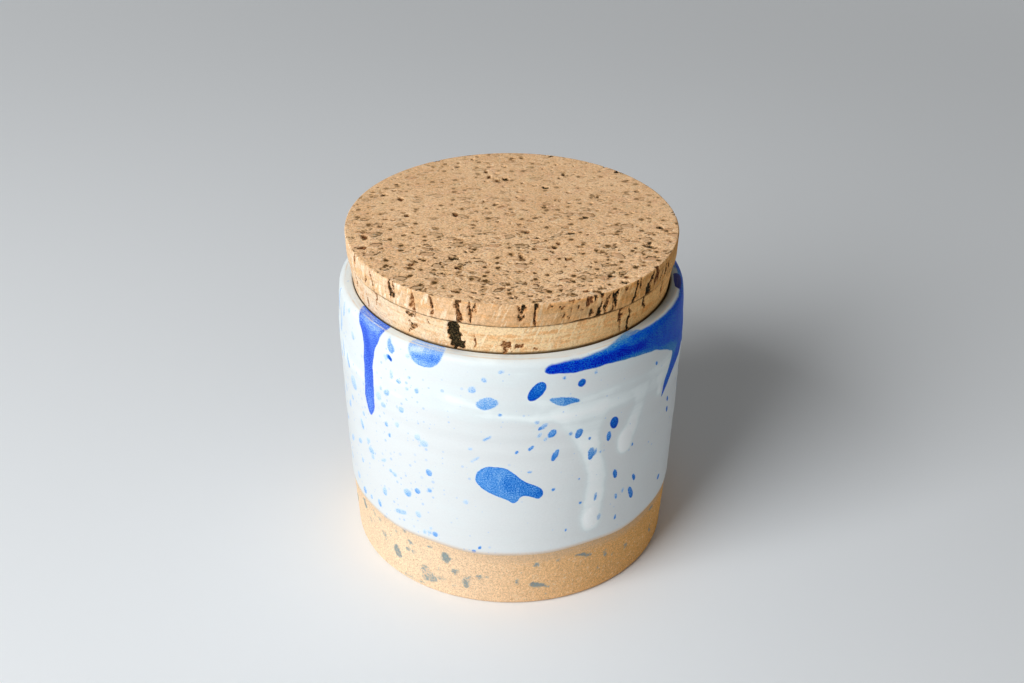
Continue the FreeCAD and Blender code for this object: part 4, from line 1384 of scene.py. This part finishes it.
def clay_material():
    """Bare buff stoneware with sandy grain, with painted light making its left paler and painted shade
    making its right deeper, and grey-green splashes.
    """
    n = Nodes("bare_clay")
    mark, _, above, _ = n.field("band")
    place = n.place()
    grain = n.noise(place, 2700.0, 2.0, 0.75)
    specks = n.noise(place, 1500.0, 1.0, 0.5)
    cloud = n.noise(place, 60.0, 3.0, 0.5)
    # Painted light and shade: paler towards the lamp's side, deeper and more orange on the far side.
    shaded_side_share = n.range(cloud * 0.02 + n.parts(place)[0], -0.019, 0.052)
    pale = n.mix(cloud, (0.89, 0.645, 0.43), (0.935, 0.705, 0.48))
    deep = n.mix(cloud, (0.71, 0.355, 0.10), (0.79, 0.415, 0.13))
    tone = grain * 1.60 + 0.14 + cloud * 0.14
    colour = n.tint(n.mix(shaded_side_share, pale, deep), tone)
    colour = n.mix(n.range(specks, 0.58, 0.74, 0.0, 0.45), colour, PALE_GROG)
    colour = n.mix(n.range(specks, 0.38, 0.24, 0.0, 0.45), colour, DARK_GROG)
    stain = n.range(cloud * 2.4 + above, -2.6, 0.9, 0.0, 0.62)
    # The wash near the glaze's edge is real, but it is laid on more strongly on the shaded side as
    # painted shade.
    stain *= n.range(grain, 0.3, 0.7, 1.15, 0.7) * n.range(shaded_side_share, 0.0, 0.6, 0.45, 1.05)
    colour = n.mix(stain, colour, GLAZE_WASH)
    rough_mark = (grain - 0.5) * 2.6 + mark + (specks - 0.5) * 1.5
    rough_mark *= n.range(mark, 0.02, 0.2)
    mark_colour = n.tint(GREY_GREEN, tone)
    colour = n.mix(n.range(rough_mark, 0.12, 0.95, 0.0, 0.88), colour, mark_colour)
    return n.finish(colour, 0.88, n.bump(grain + specks * 0.8, 0.7, 0.00014), 0.12)


def curls(n, place, cells, keep):
    """Torn rings and hooks in cut cork: lines, insides, a painted highlight along one side of each rim,
    stains, a random pick.

    cells is how many marks could stand on a millimetre, keep the share of them that do.
    """
    bend = n.noise(place, 0.8, 2.0, output="Color")
    bent = n.vector("MULTIPLY_ADD", bend, (2.2, 1.5, 0.0), place)
    _, middle, pick = n.cells(bent, cells)
    away = n.turned(n.vector("SUBTRACT", bent, middle), "Z_AXIS", pick[0] * 1.3 - 0.65)
    local = n.vector("MULTIPLY", away, (1.0, 1.7, 0.0))
    x, y, _ = n.parts(local)
    reach = n.made("ShaderNodeVectorMath", local, output="Value", operation="LENGTH")
    gap = reach - (pick[1] * (0.28 / cells) + 0.07 / cells)
    width = n.range(n.noise(place, 1.2, 1.0), 0.34, 0.64, -0.03, 0.42)
    closed = n.range(n.math("ARCTAN2", y, x) - (pick[2] * 3.4 - 3.3), -0.2, 0.5)

    chance = n.math("FRACT", pick[0] * 37.0)
    crowd = n.range(n.noise(place, 0.11, 1.0), 0.40, 0.58, 0.45, 1.1)
    limit = n.range(n.parts(place)[1], -25.0, 38.0, keep, 0.45 * keep) * crowd
    kept = n.math("LESS_THAN", chance, limit)
    strength = kept * n.range(chance, 0.0, keep, 1.0, 0.70)
    line = n.range(abs(gap) - width, 0.09, -0.11) * closed * strength
    inside = n.range(gap, 0.20, -0.20) * kept
    # Painted highlight: a pale band just outside the ring, on one side of it only.
    pale = n.range(abs(gap - 0.50), 0.26, 0.05) * strength * n.range(y, 0.3, -0.4)
    stained = n.range(abs(gap), 0.70, 0.12) * closed * strength
    return line, inside, pale, stained, pick[2]


def spots(n, place, cells, largest):
    """Small dark holes scattered over cut cork, and the stains round them."""
    distance, _, pick = n.cells(place, cells)
    wobble = n.noise(place, 2.6, 1.0) * 0.9
    gap = n.math("DIVIDE", distance, cells) + wobble - pick[0] ** 2.0 * largest
    shown = n.range(pick[0], 0.52, 0.72)
    return n.range(gap, 0.55, 0.20) * shown, n.range(gap, 1.15, 0.45) * shown


RUST_STAIN = (0.60, 0.31, 0.115)
ORANGE_CORK = (0.82, 0.44, 0.19)
KNOT_BROWN = (0.38, 0.255, 0.115)
FLECK_BROWN = (0.36, 0.20, 0.085)
DOT_BROWN = (0.085, 0.045, 0.012)
# Painted shade in the broken chips and in the plug's gap at the lip.
CHIP_SHADE_BROWN = (0.055, 0.032, 0.013)
GLUE_BROWN = (0.10, 0.055, 0.022)
PALE_CORK = (1.0, 0.84, 0.62)


def cork_side(n, place, light, dark, lit_and_shaded_flanks, saw_marks, knot):
    """Sawn side of cork: wavy growth bands, leaning saw marks, and one darker knot.

    The factors of the flanks paint light on the lid's left side, which is paler, and shade on its
    right, which is deeper.
    """

    def stretched(scale, *settings, of=place):
        return n.noise(n.vector("MULTIPLY", of, scale), *settings)

    leaning = n.turned(place, "Y_AXIS", math.radians(-17))
    saw = stretched((1.0, 1.0, 0.12), 1.35, 2.0, 0.55, of=leaning)
    sawn = stretched((1.0, 1.0, 0.5), 0.30, 1.0, of=leaning)
    bands = stretched((0.07, 0.07, 1.0), 0.85, 3.0, 0.6)
    fleck = stretched((0.45, 0.45, 1.0), 0.70, 3.0, 0.6)
    colour = n.mix(n.range(bands, 0.38, 0.58), dark, light)
    orange = n.range(bands * -0.35 + fleck, 0.31, 0.47, 0.0, 0.60)
    colour = n.mix(orange, colour, ORANGE_CORK)
    streaks = n.range(saw, 0.52, 0.60) * n.range(sawn, 0.42, 0.56, 0.25, 1.0)
    colour = n.mix(streaks * saw_marks, colour, PALE_CORK)
    colour = n.mix(n.range(saw, 0.44, 0.32, 0.0, 0.45), colour, dark)
    x = n.parts(place)[0]
    # Painted light on the left of the lid and painted shade on the right.
    left, middle, right = lit_and_shaded_flanks
    painted_side_light = n.mix(n.range(x, -38.0, 4.0), left, middle)
    painted_side_light = n.mix(n.range(x, 4.0, 34.0), painted_side_light, right)
    colour = n.mix(1.0, colour, painted_side_light, "MULTIPLY")
    rings = stretched((0.10, 0.10, 1.0), 1.5, 3.0, 0.65)
    knotted = knot * n.range(rings, 0.36, 0.62, 0.20, 0.85)
    return n.mix(knotted * 0.6, colour, KNOT_BROWN), saw


def cork_top(n, place, light, dark, grain, cloud):
    """Flat cut top: clouded, with soft pink and grey patches and pale crumbs."""
    colour = n.mix(n.range(grain * 0.6 + cloud * 0.4, 0.34, 0.66), dark, light)
    patch = n.noise(place, 0.26, 2.0, 0.55)
    colour = n.mix(n.range(patch, 0.54, 0.72, 0.0, 0.40), colour, (0.84, 0.47, 0.275))
    colour = n.mix(n.range(patch, 0.44, 0.28, 0.0, 0.40), colour, (0.82, 0.58, 0.31))
    crumbs = n.noise(n.vector("MULTIPLY", place, (0.8, 1.2, 1.0)), 2.0, 2.0, 0.65)
    return n.mix(n.range(crumbs, 0.55, 0.70, 0.0, 0.65), colour, (1.0, 0.83, 0.61))


def top_rings(n, place, colour, cells, is_top):
    """Torn rings of two sizes drawn on the top: the new colour, the lines and the relief."""
    *large, large_pick = curls(n, place, 0.185, 0.92)
    shifted = n.vector("ADD", place, (31.0, 17.0, 0.0))
    *small, small_pick = curls(n, shifted, 0.31, 0.74)
    line, within, rim, stain = (n.math("MAXIMUM", *pair) * is_top for pair in zip(large, small))
    inner = n.mix(large_pick, (0.58, 0.42, 0.25), (0.70, 0.36, 0.19))
    # Painted highlight along one side of the rings.
    colour = n.mix(rim * 0.60, colour, PALE_CORK)
    colour = n.mix(within * n.range(cells, 0.3, 0.65, 0.15, 0.85), colour, inner)
    colour = n.mix(stain * 0.50, colour, RUST_STAIN)
    broken = line * n.range(cells, 0.34, 0.54, 0.45, 1.0) * is_top
    ink = n.mix(small_pick, (0.055, 0.042, 0.012), (0.15, 0.065, 0.022))
    return n.mix(broken, colour, ink), line, (small_pick - 0.35) * within


def cork_holes(n, place, colour, pit, red, is_top):
    """Pits and cracks: crumbly, with black, brown and rusty grains and a stained border."""
    torn = n.noise(place, 1.5, 3.0, 0.75) - 0.5
    crumbs = n.noise(place, 2.1, 2.0, 0.7)
    ragged = torn * n.range(is_top, 0.0, 1.0, 2.6, 1.1) + pit + (crumbs - 0.5) * 1.2
    shown = n.range(ragged, 0.32, 0.60) * n.range(pit, 0.02, 0.25)
    border = n.range(ragged, 0.02, 0.35) * n.range(pit, 0.005, 0.2)
    stain = n.mix(is_top, (0.56, 0.225, 0.07), (0.36, 0.215, 0.09))
    colour = n.mix(border * 0.75, colour, stain)
    speck = n.range(crumbs, 0.46, 0.62)
    black = n.mix(speck, (0.009, 0.008, 0.004), (0.085, 0.058, 0.026))
    rusty = n.mix(speck, (0.105, 0.034, 0.012), (0.40, 0.18, 0.07))
    warm = n.noise(place, 0.8, 2.0, 0.6) * 1.5 + red
    hole = n.mix(n.range(warm, 0.95, 1.40), black, rusty)
    return n.mix(shown, colour, hole), shown


def cork_material(name, side_light, side_dark, lit_and_shaded_flanks, saw_marks, top_light, top_dark):
    """Cut cork: fine cells, banded sides, and a top of pits and torn rings."""
    n = Nodes(name)
    pit, chip_and_gap_shade, red, _ = n.field("cuts")
    is_top, height, knot, _ = n.field("sheet")
    place = n.vector("MULTIPLY", n.place(), (1 / MM, 1 / MM, 1 / MM))
    cells = n.noise(place, 2.1, 2.0, 0.75)
    grain = n.noise(place, 0.55, 3.0, 0.6)
    cloud = n.noise(place, 0.075, 3.0, 0.55)
    side, saw = cork_side(n, place, side_light, side_dark, lit_and_shaded_flanks, saw_marks, knot)
    top = cork_top(n, place, top_light, top_dark, grain, cloud)
    depth = n.parts(place)[1]
    crisp = n.range(depth, -30.0, 28.0, 1.0, 0.0) * is_top
    tone = (cells - 0.5) * n.range(crisp, 0.0, 1.0, 1.1, 2.1) + 0.98
    colour = n.tint(n.mix(is_top, side, top), tone + (cloud - 0.5) * 0.16)

    # Small brown flecks, then torn rings, dots, painted shade in the chips and the plug's gap, and the
    # glued seam.
    flecks = n.range(n.noise(place, 0.9, 2.0, 0.55), 0.58, 0.70, 0.0, 0.55)
    colour = n.mix(flecks * (is_top * 0.7 + 0.3), colour, FLECK_BROWN)
    marked = n.range(depth, -22.0, 25.0, 1.0, 0.55) * is_top
    colour, line, step = top_rings(n, place, colour, cells, marked)
    dots, dot_stain = (field * marked for field in spots(n, place, 0.34, 0.72))
    colour = n.mix(dot_stain * 0.45, colour, RUST_STAIN)
    colour = n.mix(dots * 0.95, colour, DOT_BROWN)
    # Painted shade in the chips and the gap.
    colour = n.mix(chip_and_gap_shade * 0.90, colour, CHIP_SHADE_BROWN)
    seam = abs(height - SEAM) + (grain - 0.5) * 0.5
    colour = n.mix(n.range(seam, 0.34, 0.05, 0.0, 0.85), colour, GLUE_BROWN)
    colour, shown = cork_holes(n, place, colour, pit, red, is_top)

    relief = cells + grain * 1.1 + saw * 0.6 + step * 2.0
    relief -= line * 1.8 + n.math("MAXIMUM", shown, dots) * 2.2
    return n.finish(colour, 0.85, n.bump(relief, 0.6, 0.00013), 0.05)


# ---------------------------------------------------------------- stage, light, camera


BACKGROUND = (0.80, 0.83, 0.85, 1.0)


def seen_rays(tree):
    """1 for rays that show the background: the camera's, reflected, and through glass."""
    path = tree.nodes.new("ShaderNodeLightPath")
    seen = path.outputs["Is Camera Ray"]
    for name in ("Is Glossy Ray", "Is Transmission Ray"):
        either = tree.nodes.new("ShaderNodeMath")
        either.operation = "MAXIMUM"
        tree.links.new(seen, either.inputs[0])
        tree.links.new(path.outputs[name], either.inputs[1])
        seen = either.outputs[0]
    return seen


def make_floor():
    """Plain pale floor that meets the pale background far behind the jar."""
    size = 4.0
    mesh = bpy.data.meshes.new("floor")
    corners = [(-size, -size, 0), (size, -size, 0), (size, size, 0), (-size, size, 0)]
    mesh.from_pydata(corners, [], [(0, 1, 2, 3)])
    floor = bpy.data.objects.new("floor", mesh)
    bpy.context.scene.collection.objects.link(floor)
    n = Nodes("pale_floor")
    n.finish((0.88, 0.91, 0.935, 1.0), 0.95, None, 0.1)
    away = n.made("ShaderNodeVectorMath", n.place(), output="Value", operation="LENGTH")
    far = n.range(away, 0.30, 1.30) * seen_rays(n.tree)
    pale = n.made("ShaderNodeEmission", BACKGROUND)
    blend = n.made("ShaderNodeMixShader", far, n.shader.outputs[0], pale)
    n.set(n.output.inputs["Surface"], blend)
    mesh.materials.append(n.material)


def make_world():
    """Even light from all round, with a pale background behind the floor."""
    world = bpy.data.worlds.new("studio")
    bpy.context.scene.world = world
    world.use_nodes = True
    tree = world.node_tree
    tree.nodes.clear()
    mix = tree.nodes.new("ShaderNodeMixShader")
    tree.links.new(seen_rays(tree), mix.inputs[0])
    lights = [((1.0, 0.985, 0.96, 1.0), 0.168), (BACKGROUND, 1.0)]
    for slot, (colour, strength) in enumerate(lights, 1):
        light = tree.nodes.new("ShaderNodeBackground")
        light.inputs["Color"].default_value = colour
        light.inputs["Strength"].default_value = strength
        tree.links.new(light.outputs[0], mix.inputs[slot])
    output = tree.nodes.new("ShaderNodeOutputWorld")
    tree.links.new(mix.outputs[0], output.inputs["Surface"])


def area_light(name, angle, elevation, distance, size, power, colour):
    """Soft lamp aimed at the middle of the jar, from one of the jar's own angles."""
    target = Vector((0, 0, 0.045))
    turn, rise = math.radians(angle), math.radians(elevation)
    level = math.cos(rise)
    away = Vector((math.sin(turn) * level, -math.cos(turn) * level, math.sin(rise)))
    lamp = bpy.data.lights.new(name, "AREA")
    lamp.shape = "SQUARE"
    lamp.size = size
    lamp.energy = power
    lamp.color = colour
    made = bpy.data.objects.new(name, lamp)
    made.location = target + away * distance
    made.rotation_euler = away.to_track_quat("Z", "Y").to_euler()
    bpy.context.scene.collection.objects.link(made)


def make_camera():
    """Camera at the picture's angle: it looks down on the jar from the front."""
    lens = 55.8
    distance = 0.4116
    elevation = math.radians(31.26)
    roll = math.radians(0.53)
    aim = Vector((0.0003, 0.0, 0.0533))
    back = Vector((0, -math.cos(elevation), math.sin(elevation)))
    data = bpy.data.cameras.new("camera")
    data.lens = lens
    data.sensor_width = 36.0
    data.sensor_fit = "HORIZONTAL"
    data.clip_start = 0.01
    camera = bpy.data.objects.new("camera", data)
    facing = back.to_track_quat("Z", "Y").to_matrix().to_4x4()
    stand = Matrix.Translation(aim + back * distance)
    camera.matrix_world = stand @ facing @ Matrix.Rotation(roll, 4, "Z")
    bpy.context.scene.collection.objects.link(camera)
    bpy.context.scene.camera = camera


# ---------------------------------------------------------------- put together


def place_piece(piece, material, node):
    piece.data.materials.append(material)
    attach(piece, "root")
    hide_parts(node)


place_piece(make_glaze(), glaze_material(), "stoneware_jar")
place_piece(make_clay(), clay_material(), "stoneware_jar")
cap_cork = cork_material(
    "cork_cap",
    side_light=(0.74, 0.47, 0.27),
    side_dark=(0.605, 0.36, 0.18),
    lit_and_shaded_flanks=((1.24, 1.37, 1.54), (1.025, 0.965, 0.85), (1.06, 0.87, 0.545)),
    saw_marks=0.42,
    top_light=(1.0, 0.652, 0.368),
    top_dark=(0.93, 0.56, 0.288),
)
plug_cork = cork_material(
    "cork_plug",
    side_light=(1.0, 0.80, 0.545),
    side_dark=(0.95, 0.68, 0.415),
    lit_and_shaded_flanks=((0.885, 0.86, 0.88), (1.0, 0.90, 0.75), (1.0, 0.72, 0.40)),
    saw_marks=0.95,
    top_light=(0.86, 0.545, 0.30),
    top_dark=(0.73, 0.44, 0.22),
)
place_piece(make_cap(), cap_cork, "cork_cap")
place_piece(make_plug(), plug_cork, "cork_plug")

make_floor()
make_world()
area_light("window", -45, 36, 0.95, 0.60, 9.2, (0.98, 0.99, 1.0))
make_camera()
bpy.context.scene.view_settings.view_transform = "Standard"
